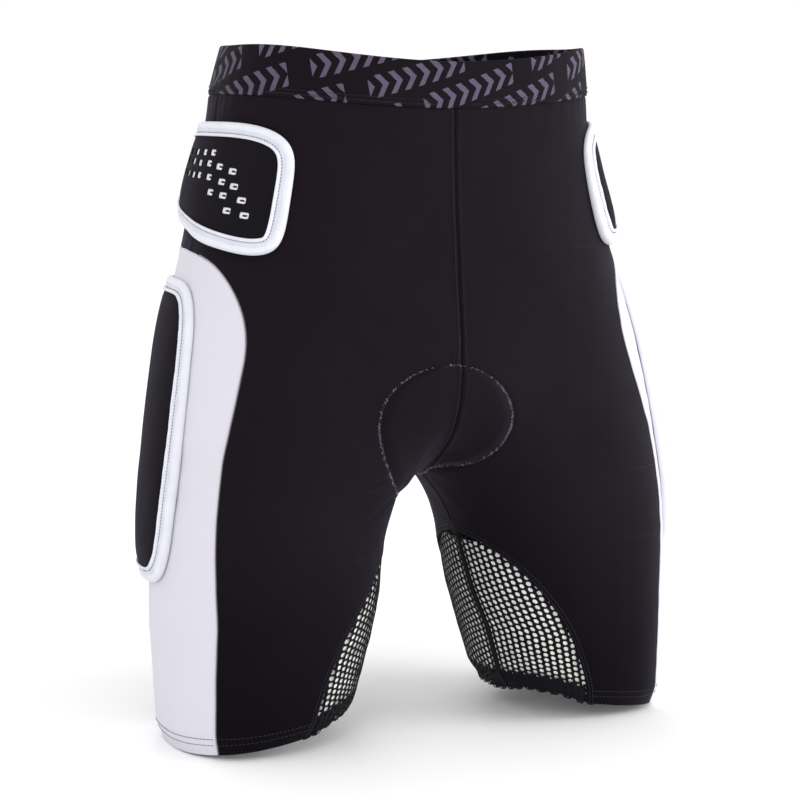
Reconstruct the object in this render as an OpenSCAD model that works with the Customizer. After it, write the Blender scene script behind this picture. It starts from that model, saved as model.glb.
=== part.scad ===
// Padded impact shorts: a stretch shell with punched hip pads, thigh pads, a
// tailbone pad and a seat pad. The wearer faces -Y, +Z is up, +X is the
// wearer's left. The origin is the middle of the waist opening, level with
// the waist rim at the sides.

/* [Shell] */
// Breadth of the waist opening
waist_w = 298; // [280:2:320]
// Breadth at the hips, over the cloth
hip_w = 368; // [352:2:384]
// Breadth of each leg at mid thigh
thigh_w = 172; // [160:2:180]
// Breadth of each leg at the hem
hem_w = 136; // [124:2:144]
// Distance between the middles of the two hems
stance = 272; // [264:2:290]
// Height from the waist rim at the side to the hem at the side
outseam = 515; // [505:5:530]
// Thickness of the stretch cloth
cloth = 1.4; // [1:0.1:1.6]
// Gap left between pieces that are sewn edge to edge
seam_gap = 0.4; // [0.3:0.1:0.6]

/* [Waistband] */
// Height of the waistband
band_h = 37; // [30:1:42]
// How far the rim dips at the middle of the front
rim_dip_front = 14; // [6:1:16]
// How far the rim dips at the middle of the back
rim_dip_back = 11; // [4:1:14]
// How far the waistband stands proud of the cloth below it
band_step = 0.7; // [0.4:0.1:1]

/* [Panels] */
// Top of the white side panel, below the waist
side_top = 150; // [145:1:160]
// Height of the arch at the top of the side panel
side_arch = 80; // [60:1:90]
// Half width of the side panel at the front, degrees round the leg
side_front = 40; // [34:1:44]
// Half width of the side panel at the back, degrees round the leg
side_back = 54; // [50:1:58]
// Top of the mesh vent on the inner leg, below the waist
mesh_top = 372; // [365:1:385]
// Angle of the vent's front edge at the hem, degrees round the leg
mesh_front = 106; // [100:1:120]
// Slope of each hem: the inner side is higher than the outer by twice this
hem_slope = 10; // [4:1:12]
// Height of the turned-up hem
hem_h = 16; // [12:1:20]

/* [Pads] */
// Thickness of the hip pads
hip_pad_h = 10; // [8:0.5:12]
// Thickness of the thigh pads
thigh_pad_h = 11; // [9:0.5:13]
// Thickness of the tailbone pad
tail_pad_h = 11; // [9:0.5:13]
// Thickness of the seat pad inside the crotch
seat_pad_h = 8; // [6:0.5:9]
// Width of the binding round each pad
binding_w = 10; // [9:0.5:11]
// Thickness of the cloth over each pad
cover = 1.1; // [0.8:0.1:1.4]

/* [Hidden] */
// Points round the outline of a pad
ROUND = 36;
// Columns across a body panel
COLS = 9;
// Points round the waistband and round a hem
RING = 48;
// Exponent of the rounded cross-section
FULL = 2.25;
// Half width of the rounded fold between the legs
FOLD = 16;
// Depth below the waist of the crotch
CROTCH = 325;
// Height of the lowest and highest point that slopes with hem and rim
HEM_FADE = 372;
RIM_FADE = 140;
// Gap between a pad's base and the cloth
LIFT = 1;
// Depth inside the cloth at which inner layers start
INNER = cloth + 1.2;
// Millimetres of cloth to a degree, near the side seam
PER_DEG = 1.85;
// Height of a pad at its edge, and the width of the edge under the roll
EDGE_H = 6;
EDGE_IN = 4.3;

// Cross-sections of one half: height, middle of the half across, half
// breadth, depth to the front, depth to the back, middle of the half in
// depth. The two halves meet at the centre above the crotch.
LEVEL = [
    [0,        0,            waist_w/2,     96,  101, 0],
    [-40,      0,            waist_w/2,     95,  105, 6],
    [-100,     4,            hip_w/2 - 30,  100, 117, 11],
    [-160,     15,           hip_w/2 - 28,  104, 126, 10],
    [-220,     38,           hip_w/2 - 37,  105, 126, 7],
    [-260,     65,           hip_w/2 - 58,  102, 119, 3],
    [-300,     97,           thigh_w/2 + 13, 97, 105, -2],
    [-350,     117,          thigh_w/2,     91,  92,  -8],
    [-420,     stance/2 - 11, thigh_w/2 - 4, 85, 82,  -13],
    [5-outseam, stance/2,    hem_w/2,       77,  70,  -15]
];
LAST = len(LEVEL) - 1;
SLOPE = [for (i = [0:LAST]) let (a = max(i - 1, 0), b = min(i + 1, LAST))
    (LEVEL[b] - LEVEL[a])/(LEVEL[b][0] - LEVEL[a][0])];

// Cross-section at a height, on a smooth curve through the levels
function level(z) =
    let (i = min(len([for (k = [1:LAST]) if (LEVEL[k][0] > z) k]), LAST - 1),
         h = LEVEL[i+1][0] - LEVEL[i][0],
         t = max(0, min(1, (z - LEVEL[i][0])/h)), t2 = t*t, t3 = t2*t)
    (2*t3 - 3*t2 + 1)*LEVEL[i] + (t3 - 2*t2 + t)*h*SLOPE[i]
    + (3*t2 - 2*t3)*LEVEL[i+1] + (t3 - t2)*h*SLOPE[i+1];

function sq(x) = x*x;
// Fullness of the front of the crotch
function front_swell(x, z) = 10*exp(-sq(x/48) - sq((z + 255)/50));
// Distance from the centre plane, from the unfolded distance across
function folded(across) = sqrt(max(0, sq(across) - sq(FOLD)));

// Point of one unfolded half at an angle: 0 is the side seam, 90 the back
function half_point(a, z) =
    let (k = level(z), c = cos(a), s = sin(a),
         r = pow(pow(abs(c), FULL) + pow(abs(s), FULL), -1/FULL),
         across = k[1] + k[2]*r*c,
         swell = s < 0 ? min(1, -1.5*s)*front_swell(folded(across), z) : 0)
    [across, k[5] + (s < 0 ? k[3] : k[4])*r*s - swell, z];

// Folding an unfolded point and its normal, and moving it out by off
function fold_out(p, n, off) =
    let (x = folded(p.x), m = [n.x*x/max(p.x, FOLD), n.y, n.z], u = m/norm(m))
    [max(0, x + off*u.x) + seam_gap/2, p.y + off*u.y, p.z + off*u.z];

// Height of a sloping row: the rows near the rim dip, those near the hem tilt
function row_z(a, t) =
    let (up = max(0, 1 + t/RIM_FADE),
         down = max(0, (-t - HEM_FADE)/(outseam - HEM_FADE)),
         dip = a < 0 ? rim_dip_front : rim_dip_back)
    t - up*dip*pow(abs(sin(a)), 3) + down*hem_slope*(1 - cos(a));

// Point at an angle and row, moved out from the cloth's face by off
function skin(a, t, off) =
    let (z = row_z(a, t), p = half_point(a, z),
         da = half_point(a + 0.5, z) - half_point(a - 0.5, z),
         dz = half_point(a, z + 0.5) - half_point(a, z - 0.5))
    fold_out(p, cross(da, dz), off);

// Angle at which a row reaches the centre plane, at the front (end = -1) or
// the back (end = 1). Below the crotch it is past the inseam.
function centre(t, end) =
    let (k = level(row_z(84*end, t)), q = (FOLD - k[1])/k[2])
    end*(q <= -1 ? 360 : atan2(pow(1 - pow(abs(q), FULL), 1/FULL), q));

// Edges of the panels as angles, by row. The inseam runs a little forward.
function inseam(t) = -180 + 20*max(0, min(1, (-t - CROTCH)/130));
function centre_front(t) = max(centre(t, -1), inseam(t));
function centre_back(t) = min(centre(t, 1), 360 + inseam(t));
function arch(t, top, h) = sqrt(max(0, 1 - sq(max(0, 1 - (-t - top)/h))));
function side_fore(t) = -side_front*arch(t, side_top, side_arch)
    - 6*max(0, min(1, (-t - 300)/120));
function side_rear(t) = side_back*arch(t, side_top, side_arch);
function mesh_fore(t) = inseam(-mesh_top)
    + (-mesh_front - inseam(-mesh_top))*arch(t, mesh_top, outseam - mesh_top);
function mesh_rear(t) = 360 + inseam(-mesh_top)
    - (360 + inseam(-mesh_top) - 122)*arch(t, mesh_top, outseam - mesh_top);

// Rows down the body, closer together where an edge turns
ROWS_TOP = [for (k = [0:3]) -band_h - seam_gap - (side_top - band_h - seam_gap)*k/3];
ROWS_ARCH = [for (k = [1:5]) -side_top - side_arch*(1 - cos(18*k))];
ROWS_SEAT = [for (k = [1:6]) let (low = side_top + side_arch)
    -low - (CROTCH - low)*sin(15*k)];
ROWS_LEG = [for (k = [1:2]) -CROTCH - (mesh_top - CROTCH)*k/2];
ROWS_HEM = [for (k = [1:6]) -mesh_top - (outseam - mesh_top)*(1 - cos(15*k))];
BODY_ROWS = concat(ROWS_TOP, ROWS_ARCH, ROWS_SEAT, ROWS_LEG, ROWS_HEM);
SIDE_ROWS = concat([-side_top - seam_gap], ROWS_ARCH, ROWS_SEAT, ROWS_LEG, ROWS_HEM);
MESH_ROWS = concat([-mesh_top - 2*seam_gap], ROWS_HEM);

// Faces of a grid of rows by cols points, seen from outside in order
function grid_faces(rows, cols, flip, start) = [
    for (i = [0:rows-2], j = [0:cols-2])
    let (a = start + i*cols + j, b = a + 1, c = a + cols, d = c + 1)
    each (flip ? [[a, c, b], [b, c, d]] : [[a, b, c], [b, d, c]])];

// Closed sheet between an outer and an inner grid of the same size
module sheet(outer, inner) {
    rows = len(outer);
    cols = len(outer[0]);
    n = rows*cols;
    rim = concat([for (j = [0:cols-1]) j],
        [for (i = [1:rows-1]) i*cols + cols - 1],
        [for (j = [cols-2:-1:0]) (rows-1)*cols + j],
        [for (i = [rows-2:-1:1]) i*cols]);
    m = len(rim);
    polyhedron(
        [each for (r = outer) r, each for (r = inner) r],
        concat(grid_faces(rows, cols, true, 0), grid_faces(rows, cols, false, n),
            [for (k = [0:m-1]) let (p = rim[k], q = rim[(k + 1)%m])
                each [[p, q, p + n], [q, q + n, p + n]]]));
}

// Closed band: a section of points (outer side first) swept round a loop.
// loops[i][k] is point k of the section at place i on the loop.
module ring(loops) {
    n = len(loops);
    m = len(loops[0]);
    polyhedron([each for (s = loops) s],
        [for (i = [0:n-1], k = [0:m-1])
            let (i2 = (i + 1)%n, k2 = (k + 1)%m,
                 a = i*m + k, b = i*m + k2, c = i2*m + k, d = i2*m + k2)
            each [[a, b, c], [b, d, c]]]);
}

// Solid closed by a centre point at each end of a stack of loops.
// stack[j] is a loop of points; first and last are the centre points.
module stack(stack, first, last) {
    m = len(stack[0]);
    n = len(stack);
    polyhedron(
        concat([each for (s = stack) s], [first, last]),
        concat(
            [for (j = [0:n-2], i = [0:m-1])
                let (i2 = (i + 1)%m, a = j*m + i, b = j*m + i2, c = a + m, d = b + m)
                each [[a, c, b], [b, c, d]]],
            [for (i = [0:m-1]) [n*m, i, (i + 1)%m]],
            [for (i = [0:m-1]) [n*m + 1, (n-1)*m + (i + 1)%m, (n-1)*m + i]]));
}

module side(right) { mirror([right ? 1 : 0, 0, 0]) children(); }

// Angle left free at an edge, which the centre seam doesn't need
function trim(a, t) = a == centre(t, -1) || a == centre(t, 1) ? 0 : seam_gap/3;

// Piece of the shell: rows at the given heights, between two edges in degrees
module panel(rows, from, to, cols, outer = 0, inner = -cloth) {
    grid = [for (t = rows)
        let (a = from(t) + trim(from(t), t), b = to(t) - trim(to(t), t))
        [for (j = [0:cols]) [a + (b - a)*j/cols, t]]];
    sheet([for (r = grid) [for (p = r) skin(p[0], p[1], outer)]],
          [for (r = grid) [for (p = r) skin(p[0], p[1], inner)]]);
}

module waistband() {
    color("#26242a")
    ring([for (i = [0:RING-1]) let (a = 360*(i + 0.5)/RING)
        [for (p = [[0, band_step], [-band_h/2, band_step], [-band_h, band_step],
                   [-band_h, -cloth], [-band_h/2, -cloth], [0, -cloth]])
            waist_point(a, p[0], p[1])]]);
}

// Point of the waistband at an angle round the waist, measured from the left
function waist_point(round, t, off) =
    let (r = round > 180 ? round - 360 : round, left = abs(r) < 90,
         part = (left ? r : (r > 0 ? 180 - r : -180 - r))/90,
         p = skin(abs(part)*centre(t, sign(part)), t, off))
    [left ? p.x : -p.x, p.y, p.z];

module front_panel(right) {
    color("#2a2630") side(right)
        panel(BODY_ROWS, function(t) t > -mesh_top ? centre_front(t) : mesh_fore(t),
            function(t) side_fore(t), COLS);
}

module back_panel(right) {
    color("#2a2630") side(right)
        panel(BODY_ROWS, function(t) side_rear(t),
            function(t) t > -mesh_top ? centre_back(t) : mesh_rear(t), COLS);
}

module side_panel(right) {
    color("#e4e4ee") side(right)
        panel(SIDE_ROWS, function(t) side_fore(t), function(t) side_rear(t), COLS);
}

module mesh_front(right) {
    color("#3a3840") side(right)
        panel(MESH_ROWS, function(t) inseam(t), function(t) mesh_fore(t), 5);
}

module mesh_rear(right) {
    color("#3a3840") side(right)
        panel(MESH_ROWS, function(t) mesh_rear(t), function(t) 360 + inseam(t), 5);
}

// Pale lining behind the mesh, from the vent's front edge to its back edge
module mesh_lining(right) {
    color("#ece8dc") side(right)
        panel([for (k = [1:5]) -mesh_top - 6 - (outseam - hem_h - 8 - mesh_top)*k/5],
            function(t) mesh_rear(t) - 360 + 4, function(t) mesh_fore(t) - 4, 9,
            -INNER, -INNER - 0.8);
}

// Turned-up hem inside the end of each leg
module hem(right) {
    color("#2a2630") side(right)
        ring([for (i = [0:RING-1]) let (a = 360*i/RING - 180)
            [for (p = [[-outseam + hem_h, -INNER], [-outseam + 0.5, -INNER],
                       [-outseam + 0.5, -INNER - 1.2], [-outseam + hem_h, -INNER - 1.2]])
                skin(a, p[0], p[1])]]);
}

// Pads are rounded boxes drawn on the cloth:
// [front edge, back edge, top, bottom at the front, bottom at the back, squareness]
HIP_PAD = [-45, 36, 57, 156, 122, 4.2];
THIGH_PAD = [-18, 46, 173, 394, 394, 4];
// The tailbone pad is in millimetres across instead of degrees
TAIL_PAD = [-48, 48, 96, 218, 218, 3.2];

// Point on a pad's outline, inset and then shrunk towards its middle
function outline(pad, th, inset, shrink, per) =
    let (m = pad[5], c = cos(th), s = sin(th),
         r = pow(pow(abs(c), m) + pow(abs(s), m), -1/m)*shrink,
         u = r*c, v = r*s,
         low = pad[3] + (pad[4] - pad[3])*(u + 1)/2)
    [(pad[0] + pad[1])/2 + ((pad[1] - pad[0])/2 - inset/per)*u,
     -(pad[2] + low)/2 + ((low - pad[2])/2 - inset)*v];

// Point on the back of the seat, x across and z up, moved out by off
function seat_point(x, z) =
    let (k = level(z), q = (sqrt(sq(x) + sq(FOLD)) - k[1])/k[2])
    [x, k[5] + k[4]*pow(max(0, 1 - pow(abs(q), FULL)), 1/FULL), z];
function seat_skin(x, z, off) =
    let (n = cross(seat_point(x, z + 0.5) - seat_point(x, z - 0.5),
                   seat_point(x + 0.5, z) - seat_point(x - 0.5, z)))
    seat_point(x, z) + off*n/norm(n);

function pad_point(pad, th, inset, shrink, h) =
    pad == TAIL_PAD
    ? let (p = outline(pad, th, inset, shrink, 1), taper = 1 - (-p[1] - 96)/122*0.3)
        seat_skin(-p[0]*taper, p[1], h)
    : let (p = outline(pad, th, inset, shrink, PER_DEG)) skin(p[0], p[1], h);

// Rings of a pad's dome from its edge to its middle: inset, shrink, rise
DOME = [[EDGE_IN, 1, 0], [9, 1, 0.45], [9, 0.76, 0.86], [9, 0.5, 0.97], [9, 0.25, 1]];
function loop(pad, inset, shrink, h) =
    [for (i = [0:ROUND-1]) pad_point(pad, 360*i/ROUND, inset, shrink, h)];
function dome(pad, full, drop, in) =
    [for (d = DOME) loop(pad, d[0] + in, d[1], EDGE_H + (full - EDGE_H)*d[2] - drop)];
function upturned(list) = [for (i = [len(list)-1:-1:0]) list[i]];

// Cloth drawn over the pad, open underneath
module pad_cover(pad, full) {
    inner = dome(pad, full, cover, cover);
    outer = dome(pad, full, 0, 0);
    stack(concat(upturned(inner),
            [loop(pad, EDGE_IN + cover, 1, LIFT), loop(pad, EDGE_IN, 1, LIFT)], outer),
        pad_point(pad, 0, 9, 0, full - cover), pad_point(pad, 0, 9, 0, full));
}

// Foam block inside the cover
module pad_foam(pad, full) {
    gap = cover + 0.4;
    low = LIFT + 0.4;
    stack(concat(
            [for (s = [0.25, 0.5, 0.76, 1]) loop(pad, s < 1 ? 9 : EDGE_IN + gap, s, low)],
            dome(pad, full, gap, gap)),
        pad_point(pad, 0, 9, 0, low), pad_point(pad, 0, 9, 0, full - gap));
}

// Binding: a fat roll outside the cover's edge and a flat strip over it
module pad_binding(pad, full) {
    strip = EDGE_H + (full - EDGE_H)*0.45;
    section = [[0.6, LIFT], [0, 3], [0.2, 5.4], [1.6, 7.6], [EDGE_IN, EDGE_H + 2],
        [binding_w, strip + 2], [binding_w, strip + 0.9], [EDGE_IN - 0.3, EDGE_H + 0.5],
        [EDGE_IN - 0.4, LIFT]];
    ring([for (i = [ROUND-1:-1:0]) let (th = 360*i/ROUND)
        [for (p = section) pad_point(pad, th, p[0], 1, p[1])]]);
}

// Half width of the seat pad at an angle round the crotch, -90 at the front
function seat_half(phi) =
    let (front = max(0, min(1, (-phi - 14)/50)), back = max(0, min(1, (phi - 10)/50)),
         round_f = sqrt(max(0.06, 1 - sq(max(0, (-phi - 64)/22)))),
         round_b = sqrt(max(0.06, 1 - sq(max(0, (phi - 62)/32)))))
    (15 + 38*sq(front)*(3 - 2*front) + 54*sq(back)*(3 - 2*back))*round_f*round_b;

HUB_Z = -225;
// Below zero inside the shorts, above zero outside
function outside(x, y, z) =
    let (k = level(z), u = (sqrt(sq(x) + sq(FOLD)) - k[1])/k[2],
         swell = y < k[5] ? front_swell(x, z) : 0, depth = y < k[5] ? k[3] : k[4],
         part = min(1, 1.5*abs(y - k[5])/depth/max(0.1, norm([u, (y - k[5])/depth]))),
         v = (abs(y - k[5]) - swell*part)/depth)
    pow(abs(u), FULL) + pow(max(0, v), FULL) - 1;
// Distance from the hub to the cloth along a ray, by halving
function reach(x, phi, near = 30, far = 200, n = 14) =
    let (mid = (near + far)/2)
    n == 0 ? mid
    : outside(x, mid*sin(phi), HUB_Z - mid*cos(phi)) < 0
        ? reach(x, phi, mid, far, n - 1) : reach(x, phi, near, mid, n - 1);
function crotch_skin(x, phi, off) =
    let (d = reach(x, phi), p = [x, d*sin(phi), HUB_Z - d*cos(phi)], e = 0.5,
         n = [outside(p.x + e, p.y, p.z) - outside(p.x - e, p.y, p.z),
              outside(p.x, p.y + e, p.z) - outside(p.x, p.y - e, p.z),
              outside(p.x, p.y, p.z + e) - outside(p.x, p.y, p.z - e)])
    p + off*n/norm(n);

// Layer of the seat pad between two depths inside the cloth
module seat_layer(from, to, trim) {
    phis = [for (k = [0:20]) -85 + 178*k/20];
    function at(off) = [for (phi = phis) [for (q = [-1:0.2:1])
        crotch_skin(q*(seat_half(phi) - trim), phi, off)]];
    sheet(at(-from), at(-to));
}

module seat_pad_foam() color("#c9c4b4") seat_layer(INNER + 1, INNER + seat_pad_h, 1);
module seat_pad_face() color("#3c3844")
    seat_layer(INNER + seat_pad_h + 0.4, INNER + seat_pad_h + 1.5, 0);

module hip_pad_cover(right) color("#2a2630") side(right) pad_cover(HIP_PAD, hip_pad_h);
module hip_pad_foam(right) color("#f0f0ea") side(right) pad_foam(HIP_PAD, hip_pad_h);
module hip_pad_binding(right) color("#f0f0f5") side(right) pad_binding(HIP_PAD, hip_pad_h);
module thigh_pad_cover(right) color("#2a2630") side(right)
    pad_cover(THIGH_PAD, thigh_pad_h);
module thigh_pad_foam(right) color("#f0f0ea") side(right) pad_foam(THIGH_PAD, thigh_pad_h);
module thigh_pad_binding(right) color("#f0f0f5") side(right)
    pad_binding(THIGH_PAD, thigh_pad_h);
module tailbone_pad_cover() color("#2a2630") pad_cover(TAIL_PAD, tail_pad_h);
module tailbone_pad_foam() color("#f0f0ea") pad_foam(TAIL_PAD, tail_pad_h);
module tailbone_pad_binding() color("#f0f0f5") pad_binding(TAIL_PAD, tail_pad_h);

waistband();
front_panel(true);  // front_panel_right
front_panel(false);  // front_panel_left
back_panel(true);  // back_panel_right
back_panel(false);  // back_panel_left
side_panel(true);  // side_panel_right
side_panel(false);  // side_panel_left
mesh_front(true);  // mesh_front_right
mesh_front(false);  // mesh_front_left
mesh_rear(true);  // mesh_rear_right
mesh_rear(false);  // mesh_rear_left
mesh_lining(true);  // mesh_lining_right
mesh_lining(false);  // mesh_lining_left
hem(true);  // leg_hem_right
hem(false);  // leg_hem_left
hip_pad_cover(true);  // hip_pad_cover_right
hip_pad_cover(false);  // hip_pad_cover_left
hip_pad_foam(true);  // hip_pad_foam_right
hip_pad_foam(false);  // hip_pad_foam_left
hip_pad_binding(true);  // hip_pad_binding_right
hip_pad_binding(false);  // hip_pad_binding_left
thigh_pad_cover(true);  // thigh_pad_cover_right
thigh_pad_cover(false);  // thigh_pad_cover_left
thigh_pad_foam(true);  // thigh_pad_foam_right
thigh_pad_foam(false);  // thigh_pad_foam_left
thigh_pad_binding(true);  // thigh_pad_binding_right
thigh_pad_binding(false);  // thigh_pad_binding_left
tailbone_pad_cover();
tailbone_pad_foam();
tailbone_pad_binding();
seat_pad_foam();
seat_pad_face();
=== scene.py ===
"""Padded impact shorts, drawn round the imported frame.

The wearer faces -Y, +Z is up and +X is the wearer's left. Shapes are worked
out in millimetres and angles in degrees, and every mesh is made in metres.
"""
import math

import bmesh
import bpy
import numpy as np
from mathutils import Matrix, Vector


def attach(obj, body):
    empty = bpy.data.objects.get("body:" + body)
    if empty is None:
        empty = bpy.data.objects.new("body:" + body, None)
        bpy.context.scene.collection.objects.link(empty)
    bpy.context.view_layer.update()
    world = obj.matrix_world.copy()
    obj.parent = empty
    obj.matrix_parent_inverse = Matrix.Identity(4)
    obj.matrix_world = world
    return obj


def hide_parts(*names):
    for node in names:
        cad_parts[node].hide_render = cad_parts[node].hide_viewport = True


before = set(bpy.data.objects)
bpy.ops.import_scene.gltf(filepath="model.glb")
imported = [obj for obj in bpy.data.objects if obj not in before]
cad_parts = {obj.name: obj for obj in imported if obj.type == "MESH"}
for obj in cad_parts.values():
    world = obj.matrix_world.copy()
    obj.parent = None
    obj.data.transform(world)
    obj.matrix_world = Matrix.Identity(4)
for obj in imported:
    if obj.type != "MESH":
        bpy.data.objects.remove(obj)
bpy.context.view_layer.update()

MM = 0.001

# ---------------------------------------------------------------- sizes
# breadths of the waist and hips, and of one leg at mid thigh and hem
WAIST_W, HIP_W, THIGH_W, HEM_W = 298, 368, 172, 136
# between the middles of the hems, waist to hem at the side, waist to crotch
STANCE, OUTSEAM, CROTCH = 272, 515, 325
CLOTH = 1.4                # thickness of the stretch cloth
BAND_H, BAND_STEP = 37, 0.7    # waistband, and how far it stands proud
RIM_DIP_FRONT, RIM_DIP_BACK, RIM_FADE = 14, 11, 140    # the rim is lower at the middle
# slope, height of the turned-up cloth, where the slope starts, pull of the hem
HEM_SLOPE, HEM_H, HEM_FADE, HEM_TUCK = 10, 16, 372, 4.5
# top below the waist, half widths in degrees, and height of the arch
SIDE_TOP, SIDE_FRONT, SIDE_BACK, SIDE_ARCH = 150, 40, 54, 80
MESH_TOP, MESH_FRONT, MESH_BACK = 372, 106, 122    # vent: top, and edges at the hem
FULL = 2.25                # power of the cross-section's rounded outline
FOLD = 16                  # rounding where the halves meet at the centre plane
HUB_Z = -225               # height of the axis that the seat pad bends round
EDGE_H, EDGE_IN = 6, 4.3   # height of a pad's edge, and where its cover starts
PER_DEG = 1.85             # millimetres to a degree on the outer thigh
SEAM = 0.4                 # gap between panels
SEAT_MID, SEAT_FORE, SEAT_REAR = 62, 24, 34    # degrees: straight part and round ends
SIDE_ROW, CENTRE_ROW = 1.8, 2.6    # rows of stitches beside the side and centre seams
HEM_ROWS, NET_ROWS = (8.0, 13.0), (1.8, 4.6)    # above the hem, and beside the net
SWELL_CAP = 2.2            # most that pressure may lift a cover
LEAN, FULLER, RIM_LEAN = 4, 9, 8    # crotch to the right, left thigh out, rim in
# half width of the seat pad under the crotch, and what it gains in front and behind
SEAT_HALF, SEAT_MORE_FORE, SEAT_MORE_REAR = 15, 39.5, 54
SEAT_ASIDE = 10            # its outline lies this far to the right in front
VALLEY = 0.55              # depth of the groove along a panel's sewn edge

# height, middle of the half, half breadth, front depth, back depth, middle
LEVEL = np.array([
    [0, 0, WAIST_W / 2, 96, 101, 0],
    [-40, 0, WAIST_W / 2, 95, 105, 6],
    [-100, 4, HIP_W / 2 - 30, 100, 117, 11],
    [-160, 15, HIP_W / 2 - 28, 104, 126, 10],
    [-220, 38, HIP_W / 2 - 37, 105, 126, 7],
    [-260, 65, HIP_W / 2 - 58, 102, 119, 3],
    [-300, 97, THIGH_W / 2 + 13, 97, 105, -2],
    [-350, 117, THIGH_W / 2, 91, 92, -8],
    [-420, STANCE / 2 - 11, THIGH_W / 2 - 4, 85, 82, -13],
    [5 - OUTSEAM, STANCE / 2, HEM_W / 2, 77, 70, -15]], float)
_ends = np.clip(np.arange(len(LEVEL))[:, None] + [-1, 1], 0, len(LEVEL) - 1)
SLOPE = ((LEVEL[_ends[:, 1]] - LEVEL[_ends[:, 0]])
         / (LEVEL[_ends[:, 1], :1] - LEVEL[_ends[:, 0], :1]))


# ---------------------------------------------------------------- the body
def step(x, a, b):
    """Smooth step of x from a to b."""
    t = np.clip((x - a) / (b - a), 0, 1)
    return t * t * (3 - 2 * t)


def level(z):
    """Cross-section of the body at heights z, as an array with 6 columns."""
    z = np.asarray(z, float)
    i = np.clip(np.searchsorted(-LEVEL[:, 0], -z, side="right") - 1, 0, len(LEVEL) - 2)
    h = LEVEL[i + 1, 0] - LEVEL[i, 0]
    t = np.clip((z - LEVEL[i, 0]) / h, 0, 1)[..., None]
    h = h[..., None]
    return ((2 * t**3 - 3 * t**2 + 1) * LEVEL[i] + (t**3 - 2 * t**2 + t) * h * SLOPE[i]
            + (3 * t**2 - 2 * t**3) * LEVEL[i + 1] + (t**3 - t**2) * h * SLOPE[i + 1])


def front_swell(x, z):
    """How far the front stands out low down, where the body fills it."""
    return 10 * np.exp(-(x / 48) ** 2 - ((z + 255) / 50) ** 2)


def folded(across):
    """Distance from the centre plane, where the two halves are rounded together."""
    return np.sqrt(np.maximum(0, across**2 - FOLD**2))


def half_point(a, z):
    """Point of one unfolded half at angle a: 0 at the side, 90 at the back."""
    k = level(z)
    c, s = np.cos(np.radians(a)), np.sin(np.radians(a))
    r = (np.abs(c) ** FULL + np.abs(s) ** FULL) ** (-1 / FULL)
    across = k[..., 1] + k[..., 2] * r * c
    swell = np.clip(-1.5 * s, 0, 1) * front_swell(folded(across), z)
    depth = np.where(s < 0, k[..., 3], k[..., 4])
    return np.stack([across, k[..., 5] + depth * r * s - swell, z + 0 * a], -1)


def row_z(a, t):
    """Height of a sloping row: rows dip near the rim and tilt near the hem."""
    up = np.maximum(0, 1 + t / RIM_FADE)
    down = np.maximum(0, (-t - HEM_FADE) / (OUTSEAM - HEM_FADE))
    dip = np.where(a < 0, RIM_DIP_FRONT, RIM_DIP_BACK)
    apex = np.exp(-((t + SIDE_TOP + 2) / 12) ** 2)
    apex = apex * (2 * np.exp(-((a - 16) / 9) ** 2) - 2.4 * np.exp(-((a + 6) / 12) ** 2))
    return (t - up * dip * np.abs(np.sin(np.radians(a))) ** 3 + apex
            + down * HEM_SLOPE * (1 - np.cos(np.radians(a))))


def hang(p):
    """The front of the crotch hangs a little towards the wearer's right, the
    wearer's left thigh is a little fuller, and the rim leans in over that hip."""
    front = np.clip(-p[..., 1] / 40, 0, 1)
    p[..., 0] -= LEAN * front * np.exp(-((p[..., 2] + 262) / 48) ** 2 - (p[..., 0] / 75) ** 2)
    p[..., 0] += FULLER * np.exp(-((p[..., 2] + 250) / 110) ** 2 - ((p[..., 0] - 205) / 50) ** 2)
    p[..., 0] -= (RIM_LEAN * np.clip((p[..., 2] + 32) / 32, 0, 1.1) ** 1.2
                  * np.exp(-((p[..., 0] - 149) / 60) ** 2))
    return p


def skin(a, t, off=0.0, right=False):
    """Point at an angle and row, moved off the face of the hanging cloth."""
    return hang(straight(a, t, off, right))


def straight(a, t, off, right):
    """Point at an angle and row of the body before it hangs."""
    a, t = np.broadcast_arrays(np.asarray(a, float), np.asarray(t, float))
    off = off - HEM_TUCK * step(-t, OUTSEAM - 20, OUTSEAM + 2) ** 1.5
    z = row_z(a, t)
    p = half_point(a, z)
    n = np.cross(half_point(a + 0.5, z) - half_point(a - 0.5, z),
                 half_point(a, z + 0.5) - half_point(a, z - 0.5))
    x = folded(p[..., 0])
    n[..., 0] *= x / np.maximum(p[..., 0], FOLD)
    n /= np.linalg.norm(n, axis=-1, keepdims=True)
    p[..., 0] = np.maximum(0, x + off * n[..., 0]) + SEAM / 2
    p[..., 1:] += np.asarray(off)[..., None] * n[..., 1:]
    if right:
        p[..., 0] *= -1
    return p


def centre(t, end, x=0.0):
    """Angle where a row comes to x from the centre plane, at the front or the back."""
    k = level(row_z(84.0 * end, np.asarray(t, float)))
    q = (math.hypot(FOLD, x) - k[..., 1]) / k[..., 2]
    a = np.degrees(np.arctan2(np.maximum(0, 1 - np.abs(q) ** FULL) ** (1 / FULL), q))
    return end * np.where(q <= -1, 360.0, a)


def inseam(t):
    """Angle of the seam down the inner leg."""
    return -180 + 20 * np.clip((-t - CROTCH) / 130, 0, 1)


def arch(t, top, h):
    """Share of a panel's width that its round top has reached."""
    return np.sqrt(np.maximum(0, 1 - np.maximum(0, 1 - (-t - top) / h) ** 2))


def side_fore(t):
    """Angle of the white panel's front edge, and next of its rear edge."""
    return -SIDE_FRONT * arch(t, SIDE_TOP, SIDE_ARCH) - 6 * np.clip((-t - 300) / 120, 0, 1)


def side_rear(t):
    return SIDE_BACK * arch(t, SIDE_TOP, SIDE_ARCH)


def mesh_fore(t):
    """Angle of the vent's front edge, and next of its rear edge."""
    top = inseam(-MESH_TOP)
    return top + (-MESH_FRONT - top) * arch(t, MESH_TOP, OUTSEAM - MESH_TOP)


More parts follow.
